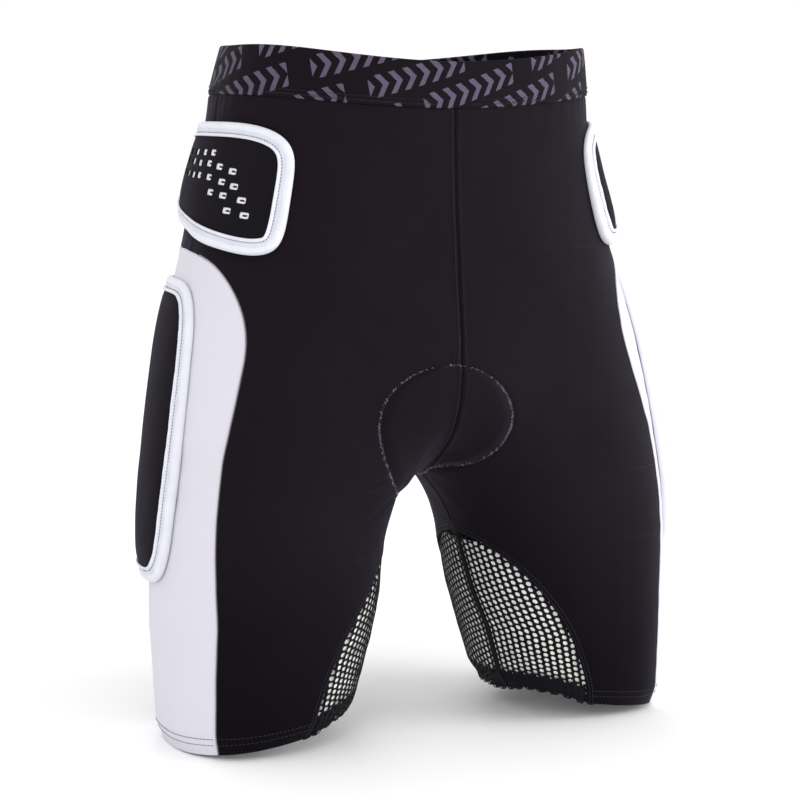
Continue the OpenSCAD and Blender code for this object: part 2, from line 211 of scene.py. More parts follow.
def mesh_rear(t):
    top = 360 + inseam(-MESH_TOP)
    return top - (top - MESH_BACK) * arch(t, MESH_TOP, OUTSEAM - MESH_TOP)


def front_inner(t):
    """Inner edge of a front panel, and next of a back panel."""
    return np.where(t > -MESH_TOP, np.maximum(centre(t, -1), inseam(t)), mesh_fore(t))


def back_inner(t):
    return np.where(t > -MESH_TOP, np.minimum(centre(t, 1), 360 + inseam(t)), mesh_rear(t))


def seat_half(phi):
    """Half width of the seat pad at an angle round the crotch."""
    round_f = np.sqrt(np.maximum(0.0, 1 - np.maximum(0, (-phi - SEAT_MID) / SEAT_FORE) ** 2))
    round_b = np.sqrt(np.maximum(0.0, 1 - np.maximum(0, (phi - SEAT_MID) / SEAT_REAR) ** 2))
    half = (SEAT_HALF + SEAT_MORE_FORE * step(-phi, 16, 64)
            + SEAT_MORE_REAR * step(phi, 10, 60))
    return half * round_f * round_b


def seat_aside(phi):
    """How far the outline lies to the wearer's right of the centre seam."""
    return SEAT_ASIDE * step(-phi, -8, 26)


def crotch_skin(x, phi, off):
    """Point of the hanging crotch at x across and an angle under the hub."""
    return hang(crotch(x, phi, off))


def crotch(x, phi, off=0.0):
    """Point of the crotch before it hangs."""
    x, phi = np.broadcast_arrays(np.asarray(x, float), np.radians(np.asarray(phi, float)))

    def outside(p):
        k = level(p[..., 2])
        u = (np.sqrt(p[..., 0] ** 2 + FOLD**2) - k[..., 1]) / k[..., 2]
        front = p[..., 1] < k[..., 5]
        depth = np.where(front, k[..., 3], k[..., 4])
        v = np.abs(p[..., 1] - k[..., 5]) / depth
        part = np.minimum(1, 1.5 * v / np.maximum(0.1, np.hypot(u, v)))
        swell = np.where(front, front_swell(p[..., 0], p[..., 2]), 0) * part
        return (np.abs(u) ** FULL
                + np.maximum(0, v - swell / depth) ** FULL - 1)

    def at(d):
        return np.stack([x, d * np.sin(phi), HUB_Z - d * np.cos(phi)], -1)

    near, far = np.full(x.shape, 30.0), np.full(x.shape, 200.0)
    for _ in range(18):
        mid = (near + far) / 2
        inside = outside(at(mid)) < 0
        near, far = np.where(inside, mid, near), np.where(inside, far, mid)
    p = at(near)
    n = np.stack([outside(p + e) - outside(p - e) for e in 0.5 * np.eye(3)], -1)
    return p + np.asarray(off)[..., None] * n / np.linalg.norm(n, axis=-1, keepdims=True)


# ---------------------------------------------------------------- relief
def rough(p, size, seed):
    """Smooth waves about one high and size long, from a few crossed sines."""
    rng = np.random.default_rng(seed)
    out = 0
    for _ in range(6):
        d = rng.normal(size=3)
        d *= rng.uniform(0.7, 1.5) * 2 * np.pi / size / np.linalg.norm(d)
        out = out + np.sin(p @ d + rng.uniform(0, 6.3)) / 6**0.5
    return out


# Small folds of the shell: from (angle, row) to (angle, row), width, depth
CREASES = [(-128, -318, -104, -322, 2.6, 0.9), (-126, -326, -100, -331, 2.4, 1.1),
           (-122, -334, -98, -341, 2.6, 0.8), (-140, -333, -118, -346, 3.0, 0.7),
           (134, -318, 108, -322, 3.0, 0.9), (132, -328, 104, -336, 3.0, 1.0),
           (126, -340, 102, -350, 3.4, 0.8)]


def relief_at(p, right):
    """How far the cloth stands off its smooth shape at places of the body."""
    x, y, z = np.abs(p[..., 0]), p[..., 1], p[..., 2]
    phi = np.degrees(np.arctan2(y, HUB_Z - z))
    inside = seat_half(phi) - np.abs(p[..., 0] + seat_aside(phi))
    low = step(-z, 215, 235)
    out = low * (2.6 * step(inside, 0, 9) - 0.9 * np.exp(-(inside / 2.4) ** 2))
    seam = np.exp(-(x / 1.1) ** 2)
    ridge = np.exp(-((x - CENTRE_ROW) / 1.5) ** 2)
    out += (0.35 * ridge - 0.8 * seam) * step(-z, 36, 44)
    return out + 0.35 * rough(p, 70, 4 + right) + 0.12 * rough(p, 22, 9 + right)


def relief(a, t, right):
    """How far the shell stands off its smooth shape, with folds and gathers."""
    out = relief_at(straight(a, t, 0, right), right)
    for side in (-SIDE_ROW, SIDE_ROW):
        line = np.exp(-((a * PER_DEG - side) / 0.9) ** 2)
        out -= 0.5 * line * step(-t, BAND_H, BAND_H + 3) * step(t, -SIDE_TOP, 3 - SIDE_TOP)
    for a0, t0, a1, t1, width, depth in CREASES:
        u = np.clip((a - a0) / (a1 - a0), 0, 1)
        d = np.hypot((t - t0 - (t1 - t0) * u - 3 * np.sin(math.pi * u)) / width,
                     (a - a0 - (a1 - a0) * u) / 3)
        out -= (1.5 if right else 1.1) * depth * np.exp(-d**2) \
            * np.sin(math.pi * np.clip(u, 0.05, 0.95)) ** 0.7
    gather = np.exp(-((-t - BAND_H) / 14)) * step(-t, BAND_H - 2, BAND_H + 4)
    out += 0.16 * gather * np.sin(a * 1.1 + 2 * np.sin(a * 0.17))
    return out


# ---------------------------------------------------------------- meshes
def bare(name, points, faces):
    """Mesh from points in millimetres, with whole numbers in its faces."""
    me = bpy.data.meshes.new(name)
    me.from_pydata((np.asarray(points).reshape(-1, 3) * MM).tolist(), [],
                   [list(map(int, f)) for f in faces])
    return me


def turn_outwards(me):
    """Turn the faces of a mesh outwards."""
    bm = bmesh.new()
    bm.from_mesh(me)
    bmesh.ops.recalc_face_normals(bm, faces=bm.faces)
    bm.to_mesh(me)
    bm.free()


def link(name, data):
    """Object for a mesh, lamp or camera, in the scene."""
    ob = bpy.data.objects.new(name, data)
    bpy.context.scene.collection.objects.link(ob)
    return ob


def piece(name, points, faces, mat, uv=None, uv_faces=None, sharp=50):
    """Mesh object of the visual, with outward normals."""
    me = bare(name, points, faces)
    if uv is not None:
        layer = me.uv_layers.new(name="cloth")
        index = np.concatenate([np.asarray(f).ravel() for f in
                                (uv_faces if uv_faces is not None else faces)])
        layer.data.foreach_set("uv", np.asarray(uv, np.float32).reshape(-1, 2)[index].ravel())
    turn_outwards(me)
    me.shade_smooth()
    me.set_sharp_from_angle(angle=math.radians(sharp))
    me.materials.append(mat)
    ob = link(name, me)
    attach(ob, "root")
    return ob


def quads(rows, cols, wrap_rows=False, wrap_cols=False):
    """Corner indices of a grid of points, and of its unwrapped twin."""
    i, j = np.meshgrid(np.arange(rows - (not wrap_rows)), np.arange(cols - (not wrap_cols)),
                       indexing="ij")
    i2, j2 = i + 1, j + 1

    def flat(width, ii, jj):
        return (ii * width + jj).ravel()
    real = [flat(cols, i, j), flat(cols, i, j2 % cols),
            flat(cols, i2 % rows, j2 % cols), flat(cols, i2 % rows, j)]
    wide = cols + wrap_cols
    loose = [flat(wide, i, j), flat(wide, i, j2), flat(wide, i2, j2), flat(wide, i2, j)]
    return np.stack(real, 1), np.stack(loose, 1)


def edge_walls(faces, count):
    """Quads joining the open edges of a sheet to its copy, count points on.

    The faces all have the same number of corners.
    """
    faces = np.asarray(faces)
    a, b = faces.ravel(), np.roll(faces, -1, axis=1).ravel()
    key = np.minimum(a, b) * 10**7 + np.maximum(a, b)
    _, first, uses = np.unique(key, return_index=True, return_counts=True)
    once = first[uses == 1]
    a, b = a[once], b[once]
    return np.stack([b, a, a + count, b + count], 1)


def doubled(outer, inner, faces):
    """Points and faces of the closed solid between two copies of one sheet."""
    n = outer[..., 0].size
    return (np.concatenate([outer.reshape(-1, 3), inner.reshape(-1, 3)]),
            np.concatenate([faces, faces[:, ::-1] + n, edge_walls(faces, n)]))


def thick_sheet(name, outer, inner, faces, uv, mat):
    """Closed solid between two copies of one sheet."""
    return piece(name, *doubled(outer, inner, faces), mat,
                 np.concatenate([uv.reshape(-1, 2)] * 2))


def thick_ring(name, outer, inner, run, v, mat):
    """Closed solid between two copies of a sheet that goes all round: run and v
    are the places of its points on the cloth."""
    real, loose = quads(*outer.shape[:2], wrap_cols=True)
    points, faces = doubled(outer, inner, real)
    walls = np.zeros((len(faces) - 2 * len(real), 4), int)
    uv = np.stack([run, np.repeat(v[:, None], run.shape[1], 1)], -1).reshape(-1, 2) * MM
    return piece(name, points, faces, mat, np.concatenate([uv] * 2),
                 np.concatenate([loose, loose[:, ::-1] + run.size, walls]))


def capped_tube(name, rings, uv, mat, sharp=50):
    """Closed tube: each row of points runs along it, and its ends are capped."""
    m, n = rings.shape[:2]
    real, _ = quads(m, n, wrap_rows=True)
    caps = [list(range(0, m * n, n)), list(range(n - 1, m * n, n))[::-1]]
    return piece(name, rings, real.tolist() + caps, mat, uv, sharp=sharp)


def lengths(points):
    """Running length along each row of a grid of points."""
    d = np.linalg.norm(np.diff(points, axis=1), axis=-1)
    return np.concatenate([np.zeros((len(points), 1)), np.cumsum(d, axis=1)], axis=1)


def travel(line):
    """Running length along one line of points."""
    return lengths(line[None])[0]


def rows_between(top, low):
    """Rows for the body, closer together where a panel's edge turns."""
    turn = np.radians(np.linspace(0, 90, 61))[1:]
    every = np.concatenate([
        np.linspace(-BAND_H - SEAM, -SIDE_TOP, 50), -SIDE_TOP - SIDE_ARCH * (1 - np.cos(turn)),
        np.linspace(-SIDE_TOP - SIDE_ARCH, -CROTCH, 81)[1:],
        np.linspace(-CROTCH, -MESH_TOP, 20)[1:],
        -MESH_TOP - (OUTSEAM - MESH_TOP) * (1 - np.cos(np.radians(np.linspace(0, 90, 49)[1:])))])
    return every[(every <= top + 1e-6) & (every >= low - 1e-6)]


def spread(n):
    """n + 1 shares from 0 to 1, crowded towards both ends."""
    u, crowd = np.linspace(0, 1, n + 1), 0.85
    return u - crowd * np.sin(2 * np.pi * u) / (2 * np.pi)


def panel(name, rows, fore, rear, right, mat, cols=72):
    """Sewn panel of the shell, whose edges turn down into their seams."""
    t = np.repeat(rows[:, None], cols + 1, 1)
    a0, a1 = fore(rows), rear(rows)
    gap = SEAM / 3
    a0 = a0 + np.where(np.isclose(a0, centre(rows, -1)), 0, gap)
    a1 = a1 - np.where(np.isclose(a1, centre(rows, 1)), 0, gap)
    a = a0[:, None] + (a1 - a0)[:, None] * spread(cols)[None]
    off = relief(a, t, right)
    run = lengths(skin(a, t, 0, right))
    edge = np.minimum(np.minimum(run, run[:, -1:] - run), np.abs(t - rows[0]) + 0.4)
    off = off - VALLEY * np.exp(-(edge / 1.0) ** 2) + 0.12 * np.exp(-((edge - 2.4) / 1.2) ** 2)
    hem = OUTSEAM + t
    off = off - 0.35 * np.exp(-(hem / 0.8) ** 2) - 0.18 * np.exp(-((hem - HEM_H) / 1.2) ** 2)
    uv = np.stack([run - run[:, cols // 2, None], t], -1) * MM
    faces, _ = quads(*t.shape)
    return thick_sheet(name, skin(a, t, off, right), skin(a, t, off - CLOTH, right),
                       faces, uv, mat)


# ---------------------------------------------------------------- materials
class Nodes:
    """Short way to lay out a material's nodes."""

    def __init__(self, name, color, rough, **sockets):
        self.mat = bpy.data.materials.new(name)
        self.mat.use_nodes = True
        self.tree = self.mat.node_tree
        self.shader = self.tree.nodes["Principled BSDF"]
        self.set(self.shader, {"Base Color": (*color, 1), "Roughness": rough, **sockets})

    def set(self, node, sockets):
        """Link or set each named or numbered socket of a node."""
        for key, value in sockets.items():
            socket = node.inputs[key]
            if isinstance(value, bpy.types.NodeSocket):
                self.tree.links.new(value, socket)
            else:
                socket.default_value = value

    def add(self, kind, sockets=(), out=0, **settings):
        """New node with its settings and sockets, as one of its outputs."""
        node = self.tree.nodes.new("ShaderNode" + kind)
        for key, value in settings.items():
            setattr(node, key, value)
        self.set(node, dict(sockets))
        return node.outputs[out]

    def split(self, vector):
        """The three parts of a vector."""
        node = self.tree.nodes.new("ShaderNodeSeparateXYZ")
        self.set(node, {0: vector})
        return node.outputs

    def math(self, op, a, b=0.0, c=0.0):
        return self.add("Math", {0: a, 1: b, 2: c}, operation=op)

    def cloth_uv(self):
        """Place on the cloth, in millimetres across and along."""
        place = self.split(self.add("UVMap", uv_map="cloth"))
        return [self.math("MULTIPLY", place[k], 1 / MM) for k in (0, 1)]

    def noise(self, scale, detail=3.0, rough=0.5):
        """Noise fixed to the object, with scale in waves to a metre."""
        place = self.add("TexCoord", out=3)
        return self.add("TexNoise", {"Vector": place, "Scale": scale, "Detail": detail,
                                     "Roughness": rough})

    def mix(self, low, high, factor):
        """Colour between two sockets or colours, by a factor."""
        node = self.tree.nodes.new("ShaderNodeMix")
        node.data_type = "RGBA"
        self.set(node, {0: factor, 6: low, 7: high})
        return node.outputs[2]

    def tint(self, low, high, factor):
        """Colour between two red, green and blue triples, by a factor."""
        return self.mix((*low, 1), (*high, 1), factor)

    def bump(self, height, distance, strength=1.0, below=None):
        """Surface raised by a height, over another bump if one is given."""
        sockets = {"Height": height, "Distance": distance * MM, "Strength": strength}
        if below is not None:
            sockets["Normal"] = below
        return self.add("Bump", sockets)


def wave(m, x, period):
    """Sine from 0 to 1 along x."""
    s = m.math("SINE", m.math("MULTIPLY", x, 2 * math.pi / period))
    return m.math("MULTIPLY_ADD", s, 0.5, 0.5)


FOOT_FROM, FOOT_TO = 320.0, 500.0     # millimetres down where the cloth's colour turns to its painted foot tone


def knit(name, color, rough, vary=0.25, wale=0.9, course=0.7, depth=0.05, sheen=0.25,
         tint=None, foot=None, **more):
    """Stretch knit: fine ribs of small V stitches, faint shade changes and sheen.

    Towards the hems the cloth turns to the colour foot: painted shade by height where foot is
    darker, painted light where it is lighter.
    """
    m = Nodes(name, color, rough, **{
        "Sheen Weight": sheen, "Sheen Roughness": 0.35, "Specular IOR Level": 0.05, **more})
    m.shader.inputs["Sheen Tint"].default_value = (*(tint or (1, 1, 1)), 1)
    u, v = m.cloth_uv()
    rib = m.math("PINGPONG", u, wale / 2)
    loops = wave(m, m.math("ADD", v, rib), course)
    height = m.math("MULTIPLY_ADD", rib, 1.2, loops)
    soft = m.noise(38.0, 4.0, 0.6)
    m.set(m.shader, {"Normal": m.bump(soft, 0.5, 0.35, m.bump(height, depth))})
    fleck = m.math("MULTIPLY_ADD", loops, 0.25, m.math("MULTIPLY", m.noise(14.0), 0.75))

    def flecked(base):
        return m.tint([c * (1 - vary) for c in base], [min(1, c * (1 + vary)) for c in base],
                      fleck)
    shade = flecked(color)
    # painted tone by height: shade where foot is darker, light where it is lighter
    if foot:
        down = m.math("MULTIPLY", m.split(m.add("TexCoord", out=3))[2], -1 / MM)
        share = m.add("MapRange", {0: down, 1: FOOT_FROM, 2: FOOT_TO},
                      interpolation_type="SMOOTHSTEP")
        shade = m.mix(shade, flecked(foot), share)
    m.set(m.shader, {"Base Color": shade,
                     "Roughness": m.math("MULTIPLY_ADD", soft, 0.16, rough - 0.08)})
    return m.mat


def woven_band(name, color, stroke):
    """Waist elastic: fine cross ribs with a woven pattern of slanted chevrons."""
    m = Nodes(name, color, 0.7, **{"Sheen Weight": 0.03, "Specular IOR Level": 0.05})
    u, v = m.cloth_uv()
    lean = math.radians(21)
    p = m.math("ADD", m.math("MULTIPLY", u, math.cos(lean)),
               m.math("MULTIPLY", v, math.sin(lean)))
    q = m.math("SUBTRACT", m.math("MULTIPLY", v, math.cos(lean)),
               m.math("MULTIPLY", u, math.sin(lean)))
    row_h, tall = 26.0, 18.0             # rows of chevrons apart, and their height
    length, whole = 71.0, 88.0           # a group of chevrons, and with the gap after it
    pitch, thick = 10.2, 4.3             # chevrons apart, and their thickness
    row = m.math("FLOOR", m.math("DIVIDE", q, row_h))
    inrow = m.math("SUBTRACT", q, m.math("MULTIPLY", row, row_h))
    mid = m.math("ABSOLUTE", m.math("SUBTRACT", inrow, tall / 2))
    inside = m.math("LESS_THAN", mid, tall / 2)
    shift = m.math("MULTIPLY_ADD", row, 37.0, p)
    along = m.math("FLOORED_MODULO", shift, whole)
    group = m.math("LESS_THAN", along, length)
    point = m.math("MULTIPLY_ADD", mid, 0.62, along)
    bars = m.math("LESS_THAN", m.math("FLOORED_MODULO", point, pitch), thick)
    motif = m.math("MULTIPLY", m.math("MULTIPLY", inside, group), bars)
    weft = wave(m, m.math("ADD", v, m.math("MULTIPLY", u, 0.5)), 1.5)
    thread = wave(m, m.math("ADD", u, m.math("MULTIPLY", v, 0.4)), 0.8)
    lit = m.math("MULTIPLY", motif, m.math("MULTIPLY_ADD", weft, 0.85, 0.25))
    lit = m.math("MULTIPLY", lit, m.math("MULTIPLY_ADD", m.noise(160.0), 0.7, 0.65))
    m.set(m.shader, {"Base Color": m.tint(color, stroke, lit)})
    height = m.math("ADD", m.math("MULTIPLY", weft, 0.6),
                    m.math("MULTIPLY_ADD", motif, 0.9, m.math("MULTIPLY", thread, 0.5)))
    m.set(m.shader, {"Normal": m.bump(height, 0.18, 0.8)})
    return m.mat


def tape(name, color):
    """Folded binding tape: fine ribs across it, random tone, and painted shade on the flat between
    its rolls.
    """
    m = Nodes(name, color, 0.7, **{"Sheen Weight": 0.06, "Specular IOR Level": 0.25})
    u, v = m.cloth_uv()
    ribs = m.math("MULTIPLY_ADD", wave(m, u, 0.85), 0.7, m.math("MULTIPLY", wave(m, v, 0.7), 0.4))
    soft = m.noise(60.0, 4.0)
    m.set(m.shader, {"Normal": m.bump(soft, 0.5, 0.4, m.bump(ribs, 0.07))})
    # painted shade: the flat between the two rolls is darker than they are
    flat = m.math("LESS_THAN", m.math("ABSOLUTE", m.math("SUBTRACT", v, 12.6)), 2.4)
    share = m.math("SUBTRACT", m.math("MULTIPLY_ADD", soft, 0.9, 0.3),
                   m.math("MULTIPLY", flat, 0.55))
    m.set(m.shader, {"Base Color": m.tint([c * k for c, k in zip(color, (0.8, 0.8, 0.86))],
                                          color, share)})
    return m.mat


def foam(name, color):
    """Closed-cell foam, with fine pits."""
    m = Nodes(name, color, 0.75, **{"Specular IOR Level": 0.3})
    place = m.add("TexCoord", out=3)
    cells = m.add("TexVoronoi", {"Vector": place, "Scale": 900.0})
    m.set(m.shader, {"Normal": m.bump(cells, 0.15, 0.5)})
    m.set(m.shader, {"Base Color": m.tint([c * 0.9 for c in color], color, m.noise(50.0))})
    return m.mat


def thread(name, color, painted_glints=False):
    """Twisted thread, whose stitches can be given painted highlights and painted shade one by one.
    """
    m = Nodes(name, color, 0.5, **{"Sheen Weight": 0.05, "Specular IOR Level": 0.2})
    twist = m.add("TexWave", {"Vector": m.add("TexCoord", out=3), "Scale": 900.0,
                              "Distortion": 1.5})
    if painted_glints:
        # painted highlights and shade: spots about a stitch long, lighter and darker than the
        # thread's colour
        lit = m.add("MapRange", {0: m.noise(430.0, 1.0), 1: 0.46, 2: 0.60})
        m.set(m.shader, {"Base Color": m.tint([c * 0.12 for c in color],
                                              [c * 1.7 for c in color], lit)})
    else:
        m.set(m.shader, {"Base Color": m.tint([c * 0.75 for c in color], color, twist)})
    m.set(m.shader, {"Normal": m.bump(twist, 0.08, 0.6)})
    return m.mat


# BLACK_SHADED_FOOT is painted shade: the shell darkens towards the hems
BLACK, BLACK_SHADED_FOOT = (0.0082, 0.0060, 0.0090), (0.0028, 0.0021, 0.0042)
WHITE = (0.66, 0.645, 0.71)
black_knit = knit("black_stretch", BLACK, 0.75, tint=(0.78, 0.68, 1.0), sheen=0.10,
                  foot=BLACK_SHADED_FOOT)
white_knit = knit("white_stretch", WHITE, 0.68, vary=0.03, sheen=0.05)
# the covers' lighter foot is painted light on the low parts of the thigh pads
cover_knit = knit("pad_cover_cloth", (0.0085, 0.0068, 0.0100), 0.8, tint=(0.78, 0.7, 1.0),
                  sheen=0.05, foot=(0.0165, 0.0132, 0.0235))
mesh_knit = knit("black_mesh", (0.008, 0.007, 0.010), 0.65, wale=0.6, course=0.5, sheen=0.03)
lining_knit = knit("pale_lining", (0.96, 0.95, 0.90), 0.8, vary=0.03)
face_knit = knit("seat_face", (0.055, 0.05, 0.068), 0.85, wale=1.6, course=1.2, depth=0.12,
                 sheen=0.5)
band_cloth = woven_band("waist_elastic", (0.006, 0.0046, 0.0075), (0.150, 0.120, 0.190))
white_tape = tape("white_binding", (0.76, 0.77, 0.82))
white_foam = foam("pad_foam", (0.94, 0.94, 0.93))
# dark core under the slots: a dark backing, also painted shade for the deep slot bottoms
dark_backing_and_shade = foam("pad_core", (0.03, 0.03, 0.035))
black_thread = thread("black_thread", (0.020, 0.018, 0.026))
# its stitches carry painted highlights and shade
lilac_thread = thread("lilac_thread", (0.22, 0.19, 0.27), painted_glints=True)
grey_thread = thread("grey_thread", (0.13, 0.13, 0.17))
white_thread = thread("white_thread", (0.66, 0.67, 0.74))
hem_thread = thread("hem_thread", (0.030, 0.028, 0.040))


def finish_as(ob, slot, *nodes):
    """Hide the CAD nodes that a piece stands for, and give back the piece; slot is not used."""
    if nodes:
        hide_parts(*nodes)
    return ob


# ---------------------------------------------------------------- shell
# faces of the cloth turned up behind the hem and the two seams, off the outer face
HEM_BEHIND, RIM_BEHIND, CENTRE_BEHIND = (-3.05, -3.8), (-1.5, -2.1), (-1.75, -2.3)


def side_name(right):
    return "right" if right else "left"


for right in (False, True):
    s = side_name(right)
    rows = rows_between(-BAND_H - SEAM, -OUTSEAM)
    front = finish_as(panel(f"front_panel_{s}_cloth", rows, front_inner, side_fore, right,
                            black_knit, cols=180), "black_stretch", f"front_panel_{s}")
    back = finish_as(panel(f"back_panel_{s}_cloth", rows, side_rear, back_inner, right,
                           black_knit), "black_stretch", f"back_panel_{s}")
    rows = rows_between(-SIDE_TOP - SEAM, -OUTSEAM)
    side = finish_as(panel(f"side_panel_{s}_cloth", rows, side_fore, side_rear, right,
                           white_knit, cols=56), "white_stretch", f"side_panel_{s}")


def ring_points(a, t, off):
    """Points round the waist: a from -180 to 180, 0 at the wearer's left."""
    left = np.abs(a) < 90
    part = np.where(left, a, np.where(a > 0, 180 - a, -180 - a)) / 90
    angle = np.abs(part) * np.where(part < 0, centre(t, -1), centre(t, 1))
    p = skin(angle, t, off)
    p[..., 0] = np.where(left, p[..., 0], -p[..., 0])
    return p


def waistband():
    """Broad elastic band with rolled edges and a sewn line near its foot."""
    v = np.concatenate([[0, 0.25, 0.6, 1.1, 1.8], np.linspace(2.8, BAND_H - 6, 22),
                        BAND_H - np.array([5.2, 4.6, 4.2, 3.8, 3.2, 2.4, 1.6, 0.9, 0.4, 0])])
    a = np.linspace(-180, 180, 721)[:-1] + 0.25
    angle, t = np.meshgrid(a, -v)
    top, foot = v[:, None], BAND_H - v[:, None]
    from_side = 90 - np.abs(np.abs(angle) - 90)
    t = t - 1.5 * np.exp(-(from_side / 26) ** 2) * foot / BAND_H
    round_off = 0.9 * (np.exp(-(top / 0.5) ** 2) + np.exp(-(foot / 0.5) ** 2))
    ripple = 0.16 * np.sin(np.radians(angle) * 46 + np.sin(np.radians(angle) * 9)) \
        * (0.25 + np.exp(-foot / 5))
    p = ring_points(angle, t, 0.0)
    swell = 0.3 * rough(p, 60, 21) - 0.30 * np.exp(-((foot - 4.2) / 0.5) ** 2)
    outer = ring_points(angle, t, BAND_STEP - round_off + ripple + swell)
    inner = ring_points(angle, t, -CLOTH + round_off * 0.6 + ripple + swell)
    run = lengths(np.concatenate([p, p[:, :1]], 1))
    ob = thick_ring("waistband_elastic", outer, inner, run, -v, band_cloth)
    finish_as(ob, "waist_elastic", "waistband")


waistband()


def allowance():
    """Cloth turned up behind the seam at the foot of the waistband."""
    angle, t = np.meshgrid(np.linspace(-180, 180, 361)[:-1], -BAND_H + np.linspace(2.5, -3, 6))
    outer, inner = (ring_points(angle, t, off) for off in RIM_BEHIND)
    real, _ = quads(*angle.shape, wrap_cols=True)
    uv = np.stack([angle * 2.6, t], -1) * MM
    ob = thick_sheet("waist_seam_allowance", outer, inner, real, uv, black_knit)


allowance()


def centre_allowance(end):
    """Cloth turned back behind the centre seam, at the front or the back."""
    t = np.linspace(-BAND_H + 1, -300, 90)
    sides = [(x, right) for right in (True, False) for x in ((6.0, 4.0, 2.0, 0.0) if right
                                                             else (0.0, 2.0, 4.0, 6.0))]
    outer, inner = (np.stack([skin(centre(t, end, x), t, off, right) for x, right in sides], 1)
                    for off in CENTRE_BEHIND)
    faces, _ = quads(*outer.shape[:2])
    uv = np.stack([np.arange(len(sides))[None] * 2.0 + 0 * t[:, None],
                   t[:, None] + np.zeros(len(sides))], -1) * MM
    ob = thick_sheet("centre_seam_allowance_" + ("rear" if end > 0 else "front"), outer, inner,
                     faces, uv, black_knit)


for end in (-1, 1):
    centre_allowance(end)

VENT_PER = 1.37            # millimetres to a degree on the inner thigh


def drawn_up(a, t):
    """Rows of the vent, whose hem is drawn up in front and sags a little behind."""
    x = ((a - inseam(t) + 180) % 360 - 180) * VENT_PER
    fore, rear = step(x, 0, 26) * (1 - step(x, 46, 74)), step(x, -106, -70) - step(x, -16, 6)
    return t + (6 * fore - 4 * rear) * step(-t, OUTSEAM - 50, OUTSEAM)


def leg_hem(right):
    """Cloth turned up inside the end of a leg."""
    t = -OUTSEAM + np.array([HEM_H, HEM_H - 4, HEM_H / 2, 4, 1.2, 0.5])
    a = np.linspace(-180, 180, 181)[:-1]
    angle, row = np.meshgrid(a, t)
    row = drawn_up(angle, row)
    outer, inner = (skin(angle, row, off, right) for off in HEM_BEHIND)
    run = lengths(np.concatenate([outer, outer[:, :1]], 1))
    s = side_name(right)
    ob = thick_ring(f"leg_hem_{s}_turn", outer, inner, run, t, black_knit)
    finish_as(ob, "black_stretch", f"leg_hem_{s}")


for right in (False, True):
    leg_hem(right)


# ---------------------------------------------------------------- threads
def thread_runs(path, pitch, share, lift, bite, sides=(0.0, 0.0), zigzag=False):
    """Five points along each stitch of a row, and the way up from the cloth.

    path(s, off) is the point at share s of the row, off above the cloth. A stitch
    fills a share of the pitch, and its ends bite into the cloth.
    """
    s = np.linspace(0, 1, 1500)
    run = travel(path(s, 0 * s))
    count = max(2, round(run[-1] / pitch))
    k = np.linspace(0, share, 5)
    where = (np.arange(count)[:, None] + (1 - share) / 2 + k) / count * run[-1]
    u = np.interp(where, run, s)
    dip = bite * np.array([1, 0.25, 0, 0.25, 1])
    c = path(u, lift - dip + 0 * u)
    mid = u[:, 2]
    up = path(mid, 1 + 0 * mid) - path(mid, 0 * mid)
    side = np.cross(up, c[:, -1] - c[:, 0])
    side /= np.maximum(1e-9, np.linalg.norm(side, axis=-1, keepdims=True))
    shift = np.linspace(sides[0], sides[1], 5)[None, :, None] * np.ones((count, 1, 1))
    if zigzag:
        shift[1::2] *= -1
    return c + side[:, None] * shift, up


def threads(name, runs, radius, mat):
    """One mesh of many short threads, each a small rounded tube."""
    c = np.concatenate([r[0] for r in runs])
    up = np.concatenate([r[1] for r in runs])
    along = c[:, -1] - c[:, 0]
    along /= np.maximum(1e-9, np.linalg.norm(along, axis=-1, keepdims=True))
    up = up - (up * along).sum(-1, keepdims=True) * along
    up /= np.linalg.norm(up, axis=-1, keepdims=True)
    across = np.cross(along, up)
    turn = np.radians(np.arange(6) * 60)[:, None]
    ring = np.cos(turn) * up[:, None] + np.sin(turn) * across[:, None]
    thin = radius * np.array([0.35, 0.88, 1, 0.88, 0.35])
    points = c[:, :, None] + thin[None, :, None, None] * ring[:, None]
    # a tube of 5 rings of 6 points, with two quads over each end
    tube, _ = quads(5, 6, wrap_cols=True)
    one = np.concatenate([tube, [[0, 1, 2, 3], [3, 4, 5, 0], [24, 25, 26, 27], [27, 28, 29, 24]]])
    faces = (one[None] + 30 * np.arange(len(c))[:, None, None]).reshape(-1, 4)
    ob = piece(name, points, faces, mat)


def cloth_path(a, t, right):
    """Path through places on the shell, for thread_runs."""
    share = np.linspace(0, 1, len(a))

    def path(s, off):
        aa, tt = np.interp(s, share, a), np.interp(s, share, t)
        return skin(aa, tt, relief(aa, tt, right) + off, right)
    return path


def beside(edge, t, side, per=PER_DEG):
    """Places along a panel's edge, moved sideways over the cloth."""
    x = edge(t) * per
    dx, dy = np.gradient(x), np.gradient(t)
    n = np.hypot(dx, dy)
    return (x - side * dy / n) / per, t + side * dx / n


# ---------------------------------------------------------------- pads
# front and back edge in degrees (across, in millimetres, on the tailbone), top, foot at
# the front and at the back, and the power of the rounded outline
HIP_PAD = (-45, 36, 57, 159, 122, 4.2)
THIGH_PAD = (-18, 46, 173, 394, 394, 4)
TAIL_PAD = (-48, 48, 96, 218, 218, 3.2)
LEFT_TURN = 12             # degrees the left thigh pad's foot sits further forward
LEFT_BACK = 5              # degrees the left hip pad sits further back
COVER = 1.1                # thickness of the cloth over a pad
LIFT = 1                   # gap between a pad's base and the shell


def seat_skin(x, z, off):
    """Point over the back of the seat, across the centre seam."""
    def at(x, z):
        k = level(z)
        q = np.abs((np.sqrt(x**2 + FOLD**2) - k[..., 1]) / k[..., 2])
        y = k[..., 5] + k[..., 4] * np.maximum(0, 1 - q**FULL) ** (1 / FULL)
        return np.stack([x, y, z], -1)
    n = np.cross(at(x, z + 0.5) - at(x, z - 0.5), at(x + 0.5, z) - at(x - 0.5, z))
    n /= np.linalg.norm(n, axis=-1, keepdims=True)
    return at(x, z) + np.asarray(off)[..., None] * n


